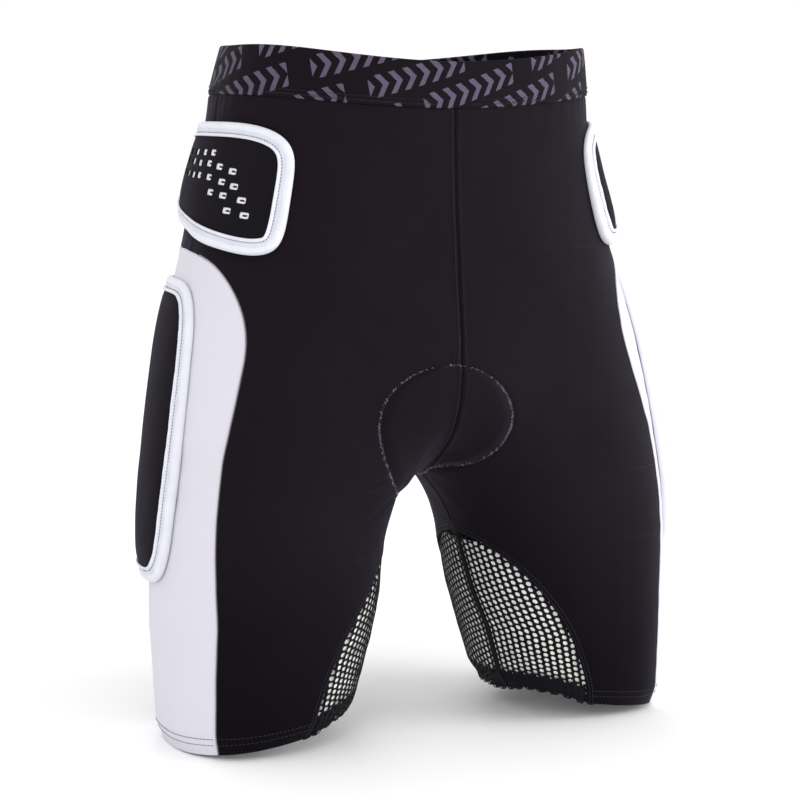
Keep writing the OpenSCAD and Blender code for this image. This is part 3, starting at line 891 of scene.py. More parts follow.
class Pad:
    """Rounded pad drawn on the cloth in a plane: millimetres round, and height."""

    def __init__(self, shape, full, right=False):
        self.shape, self.full, self.right, self.tail = shape, full, right, shape is TAIL_PAD
        self.hip, self.thigh = shape is HIP_PAD, shape is THIGH_PAD
        front, back, top, low_f, low_b = shape[:5]
        self.a = np.linspace(front - 12, back + 12, 300)
        if self.tail:
            self.x = self.a
        else:
            self.x = travel(skin(self.a, -(top + (low_f + low_b) / 2) / 2))
        self.mid = np.array([np.interp((front + back) / 2, self.a, self.x),
                             -(top + (low_f + low_b) / 2) / 2])
        self.poly = self.outline(np.linspace(0, 2 * np.pi, 1441))

    def outline(self, th):
        """Points of the outline at angles round its middle."""
        front, back, top, low_f, low_b, m = self.shape
        c, s = np.cos(th), np.sin(th)
        if self.hip:           # its lower front corner is tighter
            m = m + 3 * np.maximum(0, -c) * np.maximum(0, -s)
        r = (np.abs(c) ** m + np.abs(s) ** m) ** (-1 / m)
        low = low_f + (low_b - low_f) * (r * c + 1) / 2
        a = (front + back) / 2 + (back - front) / 2 * r * c
        return np.stack([np.interp(a, self.a, self.x),
                         -(top + low) / 2 + (low - top) / 2 * r * s], -1)

    def rim(self, th, inset):
        """Outline moved inwards by a true distance."""
        d = self.outline(th + 1e-3) - self.outline(th - 1e-3)
        n = np.stack([-d[..., 1], d[..., 0]], -1)
        n /= np.linalg.norm(n, axis=-1, keepdims=True)
        return self.outline(th) + np.asarray(inset)[..., None] * n

    def share(self, xt):
        """Share of the full thickness: the pads are drawn in towards their tops."""
        t = xt[..., 1]
        if self.hip:
            return 0.45 + 0.47 * step(-t, 45, 150)
        if self.tail:
            return 0.85 + 0 * t
        return 0.5 + 0.32 * step(-t, 215, 330) + (0 if self.right else 0.1)

    def place(self, xt, h, more=0.0):
        """Point over a place in the pad's plane: h is drawn in with the pad,
        and more is added above it in true millimetres."""
        xt = np.asarray(xt, float)
        h = np.asarray(h, float) * self.share(xt) + more
        if self.tail:
            top, low = TAIL_PAD[2:4]
            taper = 1 - (-xt[..., 1] - top) / (low - top) * 0.3
            return seat_skin(-xt[..., 0] * taper, xt[..., 1], h)
        a = np.interp(xt[..., 0], self.x, self.a)
        if self.hip and not self.right:
            a = a + LEFT_BACK
        if self.thigh and not self.right:
            a = a - LEFT_TURN * (0.5 + 0.5 * step(-xt[..., 1], 180, 340))
        return skin(a, xt[..., 1], h, self.right)

    def top(self, d):
        """Height of the crown at a distance from the outline."""
        rise = 1 - np.exp(-np.maximum(0, d - EDGE_IN) / 8)
        return EDGE_H + (self.full - EDGE_H) * rise

    def depth(self, xt):
        """Distance of places from the outline."""
        flat = xt.reshape(-1, 2)
        near = [np.min(np.linalg.norm(self.poly[None] - p[:, None], axis=-1), axis=1)
                for p in np.array_split(flat, max(1, len(flat) // 400))]
        return np.concatenate(near).reshape(xt.shape[:-1])

    def grid(self, cols, rows, inset):
        """Square grid of places, drawn out to the rounded outline."""
        s, w = np.meshgrid(np.linspace(-1, 1, cols + 1), np.linspace(-1, 1, rows + 1))
        reach = np.maximum(np.abs(s), np.abs(w))[..., None]
        return self.mid + reach * (self.rim(np.arctan2(w, s), inset) - self.mid)

    def evenly(self, count):
        """Angles that put points evenly round the outline."""
        run = travel(self.poly)
        goal = np.arange(count + 1) / count * run[-1]
        return np.interp(goal, run, np.linspace(0, 2 * np.pi, len(self.poly)))


def border(rows, cols):
    """Indices round the edge of a grid of points."""
    i = np.arange(rows * cols).reshape(rows, cols)
    return np.concatenate([i[0, :-1], i[:-1, -1], i[-1, :0:-1], i[:0:-1, 0]])


def inflate(pad, xt, h, cap):
    """Heights of a cover after pressure swells it between its sewn edges."""
    top, base = pad.place(xt, h), pad.place(xt, LIFT + 0 * h)
    both, every = doubled(top, base, quads(*h.shape)[0])
    old, n = both * MM, h.size
    me = bare("swelling", both, every)
    turn_outwards(me)
    ob = link("swelling", me)
    scene = bpy.context.scene
    held = ob.vertex_groups.new(name="held")
    held.add([int(i) for i in border(*h.shape)] + list(range(n, 2 * n)), 1.0, "REPLACE")
    cloth = ob.modifiers.new("cloth", "CLOTH")
    cloth.settings.quality = 6
    cloth.settings.vertex_group_mass = "held"
    cloth.settings.tension_stiffness = cloth.settings.compression_stiffness = 18
    cloth.settings.shear_stiffness = 8
    cloth.settings.bending_stiffness = 0.6
    cloth.settings.use_pressure = True
    cloth.settings.uniform_pressure_force = 4
    cloth.settings.effector_weights.gravity = 0
    cloth.collision_settings.use_collision = False
    cloth.point_cache.frame_start, cloth.point_cache.frame_end = 1, 20
    for f in range(1, 21):
        scene.frame_set(f)
    shown = ob.evaluated_get(bpy.context.evaluated_depsgraph_get()).to_mesh()
    new = np.empty(len(old) * 3, np.float32)
    shown.vertices.foreach_get("co", new)
    moved = (new.reshape(-1, 3)[:n] - old[:n]) / MM
    up = pad.place(xt, h + 1) - top
    rise = (moved.reshape(up.shape) * up).sum(-1) / (up * up).sum(-1)
    rise = np.where(np.isfinite(rise), rise, 0)
    bpy.data.objects.remove(ob)
    scene.frame_set(1)
    return h + np.clip(rise, -cap, cap)


def applied(ob):
    """The object with its modifiers made part of its mesh."""
    me = bpy.data.meshes.new_from_object(
        ob.evaluated_get(bpy.context.evaluated_depsgraph_get()))
    ob.modifiers.clear()
    ob.data = me
    return ob


def rounded_rect(w, l, corner):
    """Points round a rounded rectangle, four to a corner."""
    th = np.radians(np.linspace(0, 90, 4))
    out = []
    for k, (sx, sy) in enumerate(((1, 1), (-1, 1), (-1, -1), (1, -1))):
        turn = th + k * np.pi / 2
        out.append(np.stack([sx * (w / 2 - corner) + corner * np.cos(turn),
                             sy * (l / 2 - corner) + corner * np.sin(turn)], -1))
    return np.concatenate(out)


# Vent slots of the hip pads: (angle, row) from the side seam, front negative
HIP_SLOTS = [(18, -80), (11, -80), (4, -80), (-4, -80), (-11, -80),
             (20, -86), (13, -86), (5, -87), (-2, -88), (-10, -88), (-17, -90), (-24, -93),
             (22, -95), (15, -95), (8, -96), (2, -97), (-4, -97), (-12, -98), (-20, -101),
             (-26, -104), (-15, -109), (-22, -111), (-30, -114), (-25, -122), (-32, -125)]
SLOT_W, SLOT_L = 8.0, 4.6


def slot_cutter(pad, height, profile):
    """Rounded plugs into a pad at its slots: profile is (height, width, length)."""
    points, faces, tilt = [], [], math.radians(5)
    for a, t in HIP_SLOTS:
        xt = np.array([np.interp(a, pad.a, pad.x), t])
        h = height(xt)
        c, e = pad.place(xt, h), 1.0
        ex = pad.place(xt + [e, 0], h) - c
        ey = pad.place(xt + [0, e], h) - c
        n = pad.place(xt, h + 1) - c
        ex, n = ex / np.linalg.norm(ex), n / np.linalg.norm(n)
        ey = ey - (ey @ ex) * ex
        ey /= np.linalg.norm(ey)
        ex, ey = (ex * math.cos(tilt) + ey * math.sin(tilt),
                  ey * math.cos(tilt) - ex * math.sin(tilt))
        start = len(points)
        for depth, w, l in profile:
            loop = rounded_rect(w, l, min(1.1, l / 2.2))
            points += list(c + depth * n + loop[:, :1] * ex + loop[:, 1:] * ey)
        ring = len(loop)
        q, _ = quads(len(profile), ring, wrap_cols=True)
        faces += (q + start).tolist()
        faces.append(list(range(start, start + ring)))
        faces.append(list(range(start + (len(profile) - 1) * ring, start + len(profile) * ring)))
    me = bare("cutter", points, faces)
    turn_outwards(me)
    return link("cutter", me)


def cut(ob, cutter):
    """Cut a piece with a plug and throw the plug away."""
    mod = ob.modifiers.new("slots", "BOOLEAN")
    mod.object, mod.operation, mod.solver = cutter, "DIFFERENCE", "EXACT"
    bpy.context.view_layer.update()
    applied(ob)
    bpy.data.objects.remove(cutter)
    for poly in ob.data.polygons:
        poly.use_smooth = True
    ob.data.set_sharp_from_angle(angle=math.radians(40))


def pad_cover(pad, name, cols, rows, slots=False):
    """Cloth cover of a pad, and the height of its crown over the pad's plane."""
    xt = pad.grid(cols, rows, EDGE_IN)
    d = pad.depth(xt)
    cap = SWELL_CAP * step(d, 10, 34)
    h = inflate(pad, xt, pad.top(d), cap)
    p = pad.place(xt, h)
    h = h + 0.10 * rough(p, 26, 31) * step(d, 9, 20) - 0.5 * np.exp(-((d - 10.6) / 1.2) ** 2)
    edge = border(*h.shape)
    rim_xt = xt.reshape(-1, 2)[edge]
    skirts = [pad.place(rim_xt, height + 0 * rim_xt[:, 0]) for height in (3.5, LIFT + 0.2)]
    points = np.concatenate([pad.place(xt, h).reshape(-1, 3)] + skirts)
    grid_faces, _ = quads(*h.shape)
    n, b = h.size, len(edge)
    nxt = np.roll(edge, -1)
    k = np.arange(b)
    k2 = (k + 1) % b
    faces = np.concatenate([grid_faces, np.stack([edge, nxt, n + k2, n + k], 1),
                            np.stack([n + k, n + k2, n + b + k2, n + b + k], 1)])
    uv = np.concatenate([xt.reshape(-1, 2), rim_xt * 1.01, rim_xt * 1.02]) * MM
    ob = piece(name, points, faces, cover_knit, uv)
    smooth = ob.modifiers.new("round", "SUBSURF")
    smooth.levels = smooth.render_levels = 1
    solid = ob.modifiers.new("thickness", "SOLIDIFY")
    solid.thickness, solid.offset = COVER * MM, -1
    applied(ob)
    ob.data.set_sharp_from_angle(angle=math.radians(50))
    flat, level_h = xt.reshape(-1, 2), h.ravel()

    def height(at):
        at = np.asarray(at, float)
        out = np.empty(at.shape[:-1])
        for i in np.ndindex(out.shape):
            dist = np.linalg.norm(flat - at[i], axis=1)
            near = np.argsort(dist)[:4]
            w = 1 / (dist[near] + 0.01) ** 2
            out[i] = (level_h[near] * w).sum() / w.sum()
        return out
    if slots:
        cut(ob, slot_cutter(pad, height, [(2.5, SLOT_W, SLOT_L), (-2.2, SLOT_W, SLOT_L)]))
    return ob, height


def pad_foam(pad, name, height, cols, rows, slots=False):
    """Foam block under a cover, with a dark lower layer where slots go through: a dark backing that
    also stands in for the shade deep in the slots.
    """
    xt = pad.grid(cols, rows, EDGE_IN + COVER + 0.4)
    share = pad.share(xt)
    top = height(xt) - (COVER + 0.25) / share
    low = np.maximum(LIFT + 0.6, top - (1.0 if slots else 20) / share)
    faces, _ = quads(*top.shape)
    ob = thick_sheet(name, pad.place(xt, top), pad.place(xt, low), faces, xt * MM, white_foam)
    if not slots:
        return ob, None
    # a shallow pale pit and, in its middle, a narrow hole down to the core
    cut(ob, slot_cutter(pad, lambda at: height(at) - (COVER + 0.25) / pad.share(at),
                        [(1.0, 8.4, 5.0), (0.02, 8.2, 4.8), (-0.2, 6.8, 3.4), (-0.5, 4.6, 1.8),
                         (-0.6, 4.2, 1.5), (-4.0, 4.0, 1.4)]))
    # the dark core below is partly painted shade for the bottoms of the slots
    low = low - 0.3
    base = np.minimum(low - 0.3, LIFT + 0.3 + 0 * low)
    core = thick_sheet(name.replace("foam", "core"), pad.place(xt, low), pad.place(xt, base),
                       faces, xt * MM, dark_backing_and_shade)
    return ob, core


def pad_binding(pad, name):
    """Binding tape: a fat outer roll, a flat with two stitch rows, and an inner roll."""
    crown = pad.top
    # distance from the edge, height drawn in with the pad, true height above that
    section = [(0.9, 0.9, 0), (0.2, 2.2, 0), (0, 3.6, 0.2), (0.3, 4.8, 0.7), (1.1, 5.6, 1.3),
               (2.2, 6.0, 1.8), (3.4, 6.1, 1.95), (4.6, crown(4.6), 1.75),
               (5.8, crown(5.8), 1.3), (6.8, crown(6.8), 1.0), (7.6, crown(7.6), 0.6),
               (8.1, crown(8.1), 0.16), (8.5, crown(8.5), 0.16), (8.9, crown(8.9), 1.0),
               (9.4, crown(9.4), 1.6), (10.0, crown(10.0), 1.75), (10.6, crown(10.6), 1.45),
               (11.0, crown(11), 0.8), (11.05, crown(11), 0.3), (10.6, crown(10.6), 0.08),
               (8.4, crown(8.4), 0.06), (6.0, crown(6.0), 0.1), (4.4, 6.0, 0.1),
               (3.9, 5.0, 0), (3.85, 1.2, 0)]
    section = np.array(section, float)
    count = int(travel(pad.poly)[-1] / 1.9)
    th = pad.evenly(count)
    inset = section[:, 0][:, None] + 0 * th
    xt = pad.rim(th + 0 * inset, inset)
    h, over = section[:, 1][:, None] + 0 * th, section[:, 2][:, None]
    raw = pad.place(xt, h)
    wobble = 0.16 * rough(raw, 9, 41) + 0.10 * rough(raw, 4.5, 42)
    weight = np.clip((section[:, 1] - 2) / 4, 0, 1)[:, None]
    weight[18:] = 0
    p = pad.place(xt, h, over + wobble * weight)[:, :-1]
    run = travel(pad.place(pad.rim(th, 5.0 + 0 * th), 8 + 0 * th))
    across = travel(section)
    across = np.append(across, across[-1] + 3.0)
    uv = np.stack(np.broadcast_arrays(run[None], across[:, None]), -1) * MM
    real, loose = quads(len(section), count, wrap_rows=True, wrap_cols=True)
    ob = piece(name, p, real, white_tape, uv, loose, sharp=80)

    def path(inset, over):
        share = np.linspace(0, 1, len(th))

        def at(s, off):
            angle = np.interp(s, share, th)
            xt = pad.rim(angle, inset + 0 * angle)
            return pad.place(xt, crown(inset), over + off)
        return at
    groove = thread_runs(path(8.3, 0.16), 2.4, share=0.62, lift=0.2, bite=0.25)
    faint = thread_runs(path(5.2, 1.55), 2.4, share=0.6, lift=0.08, bite=0.25)
    threads(name + "_stitches", [groove], 0.34, grey_thread)
    threads(name + "_row", [faint], 0.24, white_thread)
    return ob


def padded_as(ob, slot, fill, *nodes):
    """As finish_as, for a piece with a filling; fill is not used."""
    finish_as(ob, slot, *nodes)


for kind, shape, full, cols, rows in (("hip", HIP_PAD, 12, 50, 30),
                                      ("thigh", THIGH_PAD, 13, 36, 64)):
    for right in (False, True):
        s = side_name(right)
        pad = Pad(shape, full, right)
        cover, height = pad_cover(pad, f"{kind}_pad_cover_{s}_cloth", cols, rows, kind == "hip")
        block, core = pad_foam(pad, f"{kind}_pad_foam_{s}_block", height, cols, rows,
                               kind == "hip")
        binding = pad_binding(pad, f"{kind}_pad_binding_{s}_tape")
        padded_as(cover, "pad_cover_cloth", 0.8, f"{kind}_pad_cover_{s}")
        padded_as(block, "pad_foam", 0.9, f"{kind}_pad_foam_{s}")
        finish_as(binding, "white_binding", f"{kind}_pad_binding_{s}")

pad = Pad(TAIL_PAD, 11)
cover, height = pad_cover(pad, "tailbone_pad_cover_cloth", 32, 40)
padded_as(cover, "pad_cover_cloth", 0.8, "tailbone_pad_cover")
padded_as(pad_foam(pad, "tailbone_pad_foam_block", height, 32, 40)[0], "pad_foam", 0.9,
          "tailbone_pad_foam")
finish_as(pad_binding(pad, "tailbone_pad_binding_tape"), "white_binding",
          "tailbone_pad_binding")


# ---------------------------------------------------------------- seat pad
def seat_pad():
    """Padded insert inside the crotch, with pressed channels in its face."""
    phi = np.linspace(-84.5, 92.5, 121)
    q = np.sin(np.radians(np.linspace(-90, 90, 57)))
    phi_g, q_g = np.meshgrid(phi, q, indexing="ij")
    half = seat_half(phi_g)
    x = q_g * (half - 0.6)
    run = np.minimum((1 - np.abs(q_g)) * half, 1.9 * np.minimum(phi_g + 86, 94 - phi_g))
    full = 1 - np.exp(-np.maximum(0, run) / 6)
    back = step(phi_g, 8, 30)
    rails = np.abs(np.abs(x) - (9 + 22 * back) * (0.75 + 0.25 * np.cos(np.radians(phi_g))))
    channel = np.exp(-(rails / 1.7) ** 2) * step(run, 4, 9)
    cross_bars = np.exp(-(((phi_g + 6 * np.abs(q_g) ** 2) % 22 - 11) / 1.0) ** 2) * step(run, 6, 12)
    channel = np.maximum(channel, 0.7 * cross_bars)
    inner = CLOTH + 1.2
    deep = inner + 1.6 + 6.6 * full - 2.2 * channel
    faces, _ = quads(*x.shape)
    uv = np.stack([x, np.radians(phi_g) * 110], -1) * MM
    block = thick_sheet("seat_pad_foam_block", crotch_skin(x, phi_g, -inner - 1.0),
                        crotch_skin(x, phi_g, -deep), faces, uv, white_foam)
    padded_as(block, "pad_foam", 0.8, "seat_pad_foam")
    face = thick_sheet("seat_pad_face_cloth", crotch_skin(x, phi_g, -deep - 0.3),
                       crotch_skin(x, phi_g, -deep - 1.4), faces, uv, face_knit)
    padded_as(face, "seat_face", 0.7, "seat_pad_face")


seat_pad()


# ---------------------------------------------------------------- mesh vents
CELL_W, CELL_P = 5.3, 5.1  # columns apart, holes apart in a column
HOLE = (1.66, 1.84)        # half width and half height of a hole
TAPE_W = 5.2               # tape over the inseam
NET_DOWN, NET_TUCK = 0.55, 1.35    # net below the shell's face, and deeper at its edge
NET_RIM, NET_MID = 0.34, 0.27      # half thickness between holes, and nearer a hole
LINING_DOWN, LINING_UP = -2.75, 1.3    # lining off the face, and up where the net is single


def vent_edge(t, rear):
    """Distance of the vent's edge from the inseam."""
    edge = mesh_rear(t) - 360 if rear else mesh_fore(t)
    return (edge - inseam(t)) * VENT_PER


def net(rear, right, shift=(0.0, 0.0), low=0.0, top=None, shrink=1.0):
    """Points, faces and flat places of a net of oval holes, as a closed solid."""
    w, p = CELL_W, CELL_P
    i, j = np.meshgrid(np.arange(-24, 24), np.arange(0, 31))
    cx = ((i + 0.5) * w + shift[0]).ravel()
    cy = (-OUTSEAM + 1.0 + j * p + (i % 2) * p / 2 + shift[1]).ravel()
    t = np.linspace(-MESH_TOP, -OUTSEAM, 500)
    edge = np.stack([vent_edge(t, rear), t], -1)

    def inside(x, y):
        """Distance inside the panel's edge, less than zero outside."""
        d = np.min(np.hypot(edge[None, :, 0] - x[:, None], edge[None, :, 1] - y[:, None]), 1)
        limit = np.interp(-y, -t, edge[:, 0])
        within = ((x > limit) if rear else (x < limit)) & (y < -MESH_TOP)
        return np.where(within, d, -d)

    keep = inside(cx, cy) > -3.0
    keep &= (cx < -1.5) if rear else (cx > 1.5)
    if top is not None:
        keep &= cy < top
    cx, cy = cx[keep], cy[keep]
    a, b = (w * w - p * p / 4) / (2 * w), (w * w + p * p / 4) / (2 * w)
    corner = np.array([(b, 0), (a, p / 2), (-a, p / 2), (-b, 0), (-a, -p / 2), (a, -p / 2)])
    rim = np.stack([corner, (corner + np.roll(corner, -1, 0)) / 2], 1).reshape(-1, 2)
    th = np.arctan2(rim[:, 1] / p, rim[:, 0] / w)
    round_p = (np.abs(np.cos(th)) ** 2.3 + np.abs(np.sin(th)) ** 2.3) ** (-1 / 2.3)
    hole = shrink * round_p[:, None] * np.stack([HOLE[0] * np.cos(th), HOLE[1] * np.sin(th)], -1)
    mid = hole * 0.55 + rim * 0.45
    c = np.stack([cx, cy], -1)[:, None]
    n = len(cx)
    key = np.round((c + rim).reshape(-1, 2) * 50).astype(np.int64)
    _, first, back = np.unique(key, axis=0, return_index=True, return_inverse=True)
    rim_flat = (c + rim).reshape(-1, 2)[first]
    m = len(rim_flat)
    rim_i = back.reshape(n, 12)
    mid_i = m + np.arange(n * 12).reshape(n, 12)
    hole_i = m + n * 12 + np.arange(n * 12).reshape(n, 12)
    places = np.concatenate([rim_flat, (c + mid).reshape(-1, 2), (c + hole).reshape(-1, 2)])
    rise = np.concatenate([np.full(m, NET_RIM), np.full(n * 12, NET_MID), np.zeros(n * 12)])
    base = -NET_DOWN - low - NET_TUCK * (1 - step(inside(places[:, 0], places[:, 1]), 0.3, 3.6))
    base = base - 0.45 * np.exp(-(places[:, 0] / 3.0) ** 2)
    angle = inseam(places[:, 1]) + places[:, 0] / VENT_PER
    base = base + 0.12 * rough(np.stack([places[:, 0], places[:, 1], 0 * base], -1), 16, 51)
    outer = skin(angle, drawn_up(angle, places[:, 1]), base + rise, right)
    inner = skin(angle, drawn_up(angle, places[:, 1]), base - rise, right)
    count = m + n * 12

    def band(one, two):
        return np.stack([one, np.roll(one, -1, 1), np.roll(two, -1, 1), two], -1).reshape(-1, 4)
    rim_l, mid_l = rim_i + len(places), mid_i + len(places)
    upper = [band(rim_i, mid_i), band(mid_i, hole_i)]
    lower = [band(rim_l, mid_l), band(mid_l, hole_i)]
    walls = edge_walls(rim_i, len(places))
    points = np.concatenate([outer, inner[:count]])
    flat_uv = np.concatenate([places, places[:count]])
    return points, np.concatenate(upper + [f[:, ::-1] for f in lower] + [walls]), flat_uv


def vent(rear, right):
    """Net vent on the inner thigh, doubled where the hem is turned up."""
    s, part = side_name(right), "rear" if rear else "front"
    layers = [net(rear, right),
              net(rear, right, (2.1, 1.6), 0.75, -OUTSEAM + HEM_H + 1, 0.72),
              net(rear, right, (0.9, -0.4), 1.3, -OUTSEAM + HEM_H, 0.8)]
    points, faces, flats, start = [], [], [], 0
    for p, f, flat in layers:
        points.append(p)
        faces.append(f + start)
        flats.append(flat)
        start += len(p)
    ob = piece(f"mesh_{part}_{s}_net", np.concatenate(points), np.concatenate(faces), mesh_knit,
               np.concatenate(flats) * MM, sharp=75)
    finish_as(ob, "black_mesh", f"mesh_{part}_{s}")


def lining(right):
    """Pale cloth behind the net."""
    t = np.linspace(-MESH_TOP - 6, -OUTSEAM + 5, 60)
    fore, rear = mesh_rear(t) - 360 - 4, mesh_fore(t) + 4
    a = fore[:, None] + (rear - fore)[:, None] * np.linspace(0, 1, 81)
    row = drawn_up(a, np.repeat(t[:, None], 81, 1))
    # close behind the net, and deeper where the net is doubled or turns under
    place = np.stack([(a - inseam(row)) * VENT_PER, np.repeat(t[:, None], 81, 1)], -1)
    edge_t = np.linspace(-MESH_TOP, -OUTSEAM, 300)
    edge = np.concatenate([np.stack([vent_edge(edge_t, rear), edge_t], -1)
                           for rear in (True, False)])
    gap = np.stack([np.min(np.linalg.norm(edge[None] - line[:, None], axis=-1), 1)
                    for line in place])
    gap = np.where((a < mesh_fore(t)[:, None]) & (a > mesh_rear(t)[:, None] - 360), gap, 0)
    single = step(t, HEM_H + 1 - OUTSEAM, HEM_H + 7 - OUTSEAM)[:, None]
    off = (LINING_DOWN + LINING_UP * step(gap, 2, 6) * single
           + 0.1 * rough(skin(a, row), 18, 61))
    run = lengths(skin(a, row, 0, right))
    uv = np.stack([run, row], -1) * MM
    faces, _ = quads(*row.shape)
    s = side_name(right)
    ob = thick_sheet(f"mesh_lining_{s}_cloth", skin(a, row, off + 0.25, right),
                     skin(a, row, off - 0.25, right), faces, uv, lining_knit)
    finish_as(ob, "pale_lining", f"mesh_lining_{s}")


def inseam_tape(right):
    """Raised tape down the middle of the vent, over the seam of its two nets."""
    t = np.linspace(-MESH_TOP + 8, -OUTSEAM + 1.2, 100)
    s, share = np.linspace(0, 1, 220), np.linspace(0, 1, len(t))
    a, t = np.interp(s, share, inseam(t)), np.interp(s, share, t)
    dx, dy = np.gradient(a * VENT_PER), np.gradient(t)
    size = np.hypot(dx, dy)
    section = np.array([(-1, -1.6), (-1, -0.25), (-0.8, 0.12), (-0.35, 0.28), (0, 0.16),
                        (0.35, 0.28), (0.8, 0.12), (1, -0.25), (1, -1.6)])
    side = section[:, 0][:, None] * TAPE_W / 2
    aa = a - side * (dy / size) / VENT_PER
    tt = t + side * (dx / size)
    off = section[:, 1][:, None] + 0 * a
    off = off + 0.08 * rough(skin(aa, tt), 7, 71)
    p = skin(aa, drawn_up(aa, tt), off, right)
    uv = np.stack(np.broadcast_arrays(side, travel(p[4])[None]), -1) * MM
    ob = capped_tube(f"inseam_tape_{side_name(right)}", p, uv, mesh_knit, sharp=60)


def hem_roll(right):
    """Gathered, knobbly lower edge of the net."""
    a0, a1 = mesh_rear(-OUTSEAM + 1.0) - 360 - 1.0, mesh_fore(-OUTSEAM + 1.0) + 1.0
    a = np.linspace(a0, a1, 420)
    x = a * VENT_PER
    t = -OUTSEAM + 1.5 + 0.55 * np.sin(x / 1.9 + 1.4 * np.sin(x / 7.0)) + 0.4 * np.sin(x / 5.3)
    radius = 0.95 + 0.3 * np.sin(x / 1.05 + np.sin(x / 4.0))
    th = np.radians(np.arange(10) * 36)[:, None]
    p = skin(a + 0 * th, drawn_up(a, t) + radius * np.sin(th), -0.9 + radius * np.cos(th),
             right)
    uv = np.stack(np.broadcast_arrays(x[None], th), -1) * MM
    ob = capped_tube(f"mesh_hem_roll_{side_name(right)}", p, uv, mesh_knit)


for right in (False, True):
    for rear in (False, True):
        vent(rear, right)
    lining(right)
    inseam_tape(right)
    hem_roll(right)


# ---------------------------------------------------------------- seams
def seams(right):
    """Every row of stitches on one half of the shell."""
    s = side_name(right)
    tonal, dark, bright = [], [], []

    def row(a, t, pitch, share, lift=0.1, bite=0.3, **more):
        return thread_runs(cloth_path(a, t, right), pitch, share, lift, bite, **more)

    for up in HEM_ROWS:
        t = up - OUTSEAM
        for a0, a1, rows in ((mesh_fore(t) + 2, side_fore(t) - 1, tonal),
                             (side_fore(t) + 1, side_rear(t) - 1, dark),
                             (side_rear(t) + 1, mesh_rear(t) - 2, tonal)):
            a = np.linspace(float(a0), float(a1), 60)
            rows.append(row(a, t + 0 * a, 3.1, 0.72, 0.16, 0.35))
    # rows beside the net, on the shell
    t = np.linspace(-MESH_TOP - 0.6, -OUTSEAM + 1, 160)
    for edge, sign in ((mesh_fore, -1), (lambda t: mesh_rear(t) - 360, 1)):
        for away in NET_ROWS:
            a, tt = beside(edge, t, sign * -away, VENT_PER)
            tonal.append(row(a, tt, 2.6, 0.85, 0.12))
    # side seam above and below the hip pad
    for top, low in ((-BAND_H - 1, -59), (-128, -SIDE_TOP + 1)):
        t = np.linspace(top, low, 40)
        for side in (-SIDE_ROW, SIDE_ROW):
            tonal.append(row(0 * t + side / PER_DEG, t, 2.2, 0.85))
    # rows beside the centre seam
    t = np.linspace(-BAND_H - 1, -236, 120)
    for end in (-1, 1):
        tonal.append(row(centre(t, end, CENTRE_ROW), t, 2.4, 0.6))
    threads(f"hem_stitches_{s}", dark, 0.36, hem_thread)
    threads(f"tonal_stitches_{s}", tonal, 0.28, black_thread)
    # short bright threads over the edge of the white panel
    t = -SIDE_TOP - 2 - (OUTSEAM - SIDE_TOP - 3) * np.linspace(0, 1, 500) ** 1.3
    for edge, sign in ((side_fore, 1), (side_rear, -1)):
        a, tt = beside(edge, t, 0.0)
        bright.append(row(a, tt, 1.45, 0.5, sides=(-0.2 * sign, 1.3 * sign)))
    threads(f"panel_edge_stitches_{s}", bright, 0.26, white_thread)


for right in (False, True):
    seams(right)


def seat_outline(sign):
    """Path of one half of the seat pad's outline, for thread_runs."""
    v = np.radians(np.linspace(0, 90, 120))
    phi = np.concatenate([-SEAT_MID - SEAT_FORE * np.cos(v),
                          np.linspace(0.5 - SEAT_MID, SEAT_MID - 0.5, 500),
                          SEAT_MID + SEAT_REAR * np.sin(v[:100])])
    share = np.linspace(0, 1, len(phi))

    def path(s, off):
        p = np.interp(s, share, phi)
        x = sign * seat_half(p) - seat_aside(p)
        return crotch_skin(x, p, off + relief_at(crotch(x, p), sign < 0))
    return path


zig = [thread_runs(seat_outline(sign), 1.3, share=0.98, sides=(-1.25, 1.25), zigzag=True,
                   lift=0.36, bite=0.1) for sign in (-1, 1)]
threads("seat_outline_stitches", zig, 0.17, lilac_thread)


def band_stitches():
    """Sewing at the foot of the waistband."""
    rows = []
    for up, pitch, sides in ((3.0, 1.7, (-0.9, 0.9)), (6.2, 2.6, (0.0, 0.0))):
        def path(s, off):
            return ring_points(360 * s - 180 + 0.1, -BAND_H + up + 0 * s, off + BAND_STEP)
        rows.append(thread_runs(path, pitch, share=0.8, sides=sides, zigzag=up < 4, lift=0.05,
                                bite=0.3))
    threads("waistband_stitches", rows, 0.22, black_thread)


band_stitches()


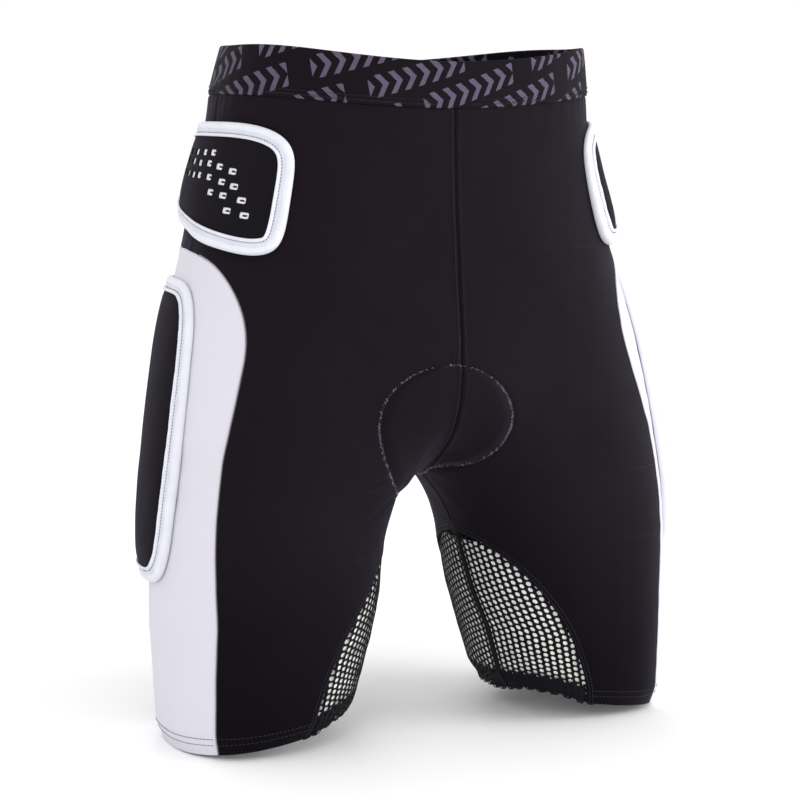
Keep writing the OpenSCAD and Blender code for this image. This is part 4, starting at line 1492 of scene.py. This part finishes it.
# ---------------------------------------------------------------- camera, light
CAM_YAW, CAM_PITCH = 24.75, 7.16        # degrees left of the front, degrees down
CAM_AWAY, CAM_HEIGHT, CAM_ASIDE = 1.776, -0.047, -0.0034
VIEW_WIDTH = 0.3442                     # picture width over distance
FLOOR_REACH, FLOOR_GAP = 300000, 0.5    # the floor runs out of sight, just under the hems


def camera():
    """Camera that looks at the shorts from the front and a little above."""
    yaw, pitch = math.radians(CAM_YAW), math.radians(CAM_PITCH)
    ahead = Vector((math.sin(yaw), math.cos(yaw), 0))
    aside = Vector((math.cos(yaw), -math.sin(yaw), 0))
    data = bpy.data.cameras.new("camera")
    data.sensor_width = 36
    data.lens = 36 / VIEW_WIDTH
    data.clip_end = 1000
    ob = link("camera", data)
    ob.location = -CAM_AWAY * ahead + CAM_ASIDE * aside + Vector((0, 0, CAM_HEIGHT))
    look = ahead * math.cos(pitch) - Vector((0, 0, math.sin(pitch)))
    ob.rotation_euler = look.to_track_quat("-Z", "Y").to_euler()
    bpy.context.scene.camera = ob


def lamp(name, place, size, power):
    """Round soft lamp, turned to the middle of the shorts."""
    data = bpy.data.lights.new(name, "AREA")
    data.shape = "DISK"
    data.size, data.energy = size, power
    ob = link(name, data)
    ob.location = place
    middle = Vector((0, 0, -0.25))
    ob.rotation_euler = (middle - Vector(place)).to_track_quat("-Z", "Y").to_euler()


def stage():
    """White floor, white surroundings and three lamps."""
    me = bare("floor", [(x * FLOOR_REACH, y * FLOOR_REACH, -OUTSEAM - FLOOR_GAP)
                        for x, y in ((-1, -1), (1, -1), (1, 1), (-1, 1))], [range(4)])
    m = Nodes("floor", (0.99, 0.99, 0.99), 0.9, **{"Specular IOR Level": 0.1})
    me.materials.append(m.mat)
    floor = link("floor", me)
    world = bpy.data.worlds.new("studio")
    world.use_nodes = True
    world.node_tree.nodes["Background"].inputs[0].default_value = (1, 1, 1, 1)
    world.node_tree.nodes["Background"].inputs[1].default_value = 1.02
    bpy.context.scene.world = world
    bpy.context.scene.view_settings.view_transform = "Standard"
    lamp("key", (-1.6, -2.4, 1.2), 1.2, 14)
    lamp("fill", (2.4, -1.4, 0.4), 1.6, 42)
    lamp("rim", (0.6, 2.4, 1.6), 1.4, 10)


camera()
stage()
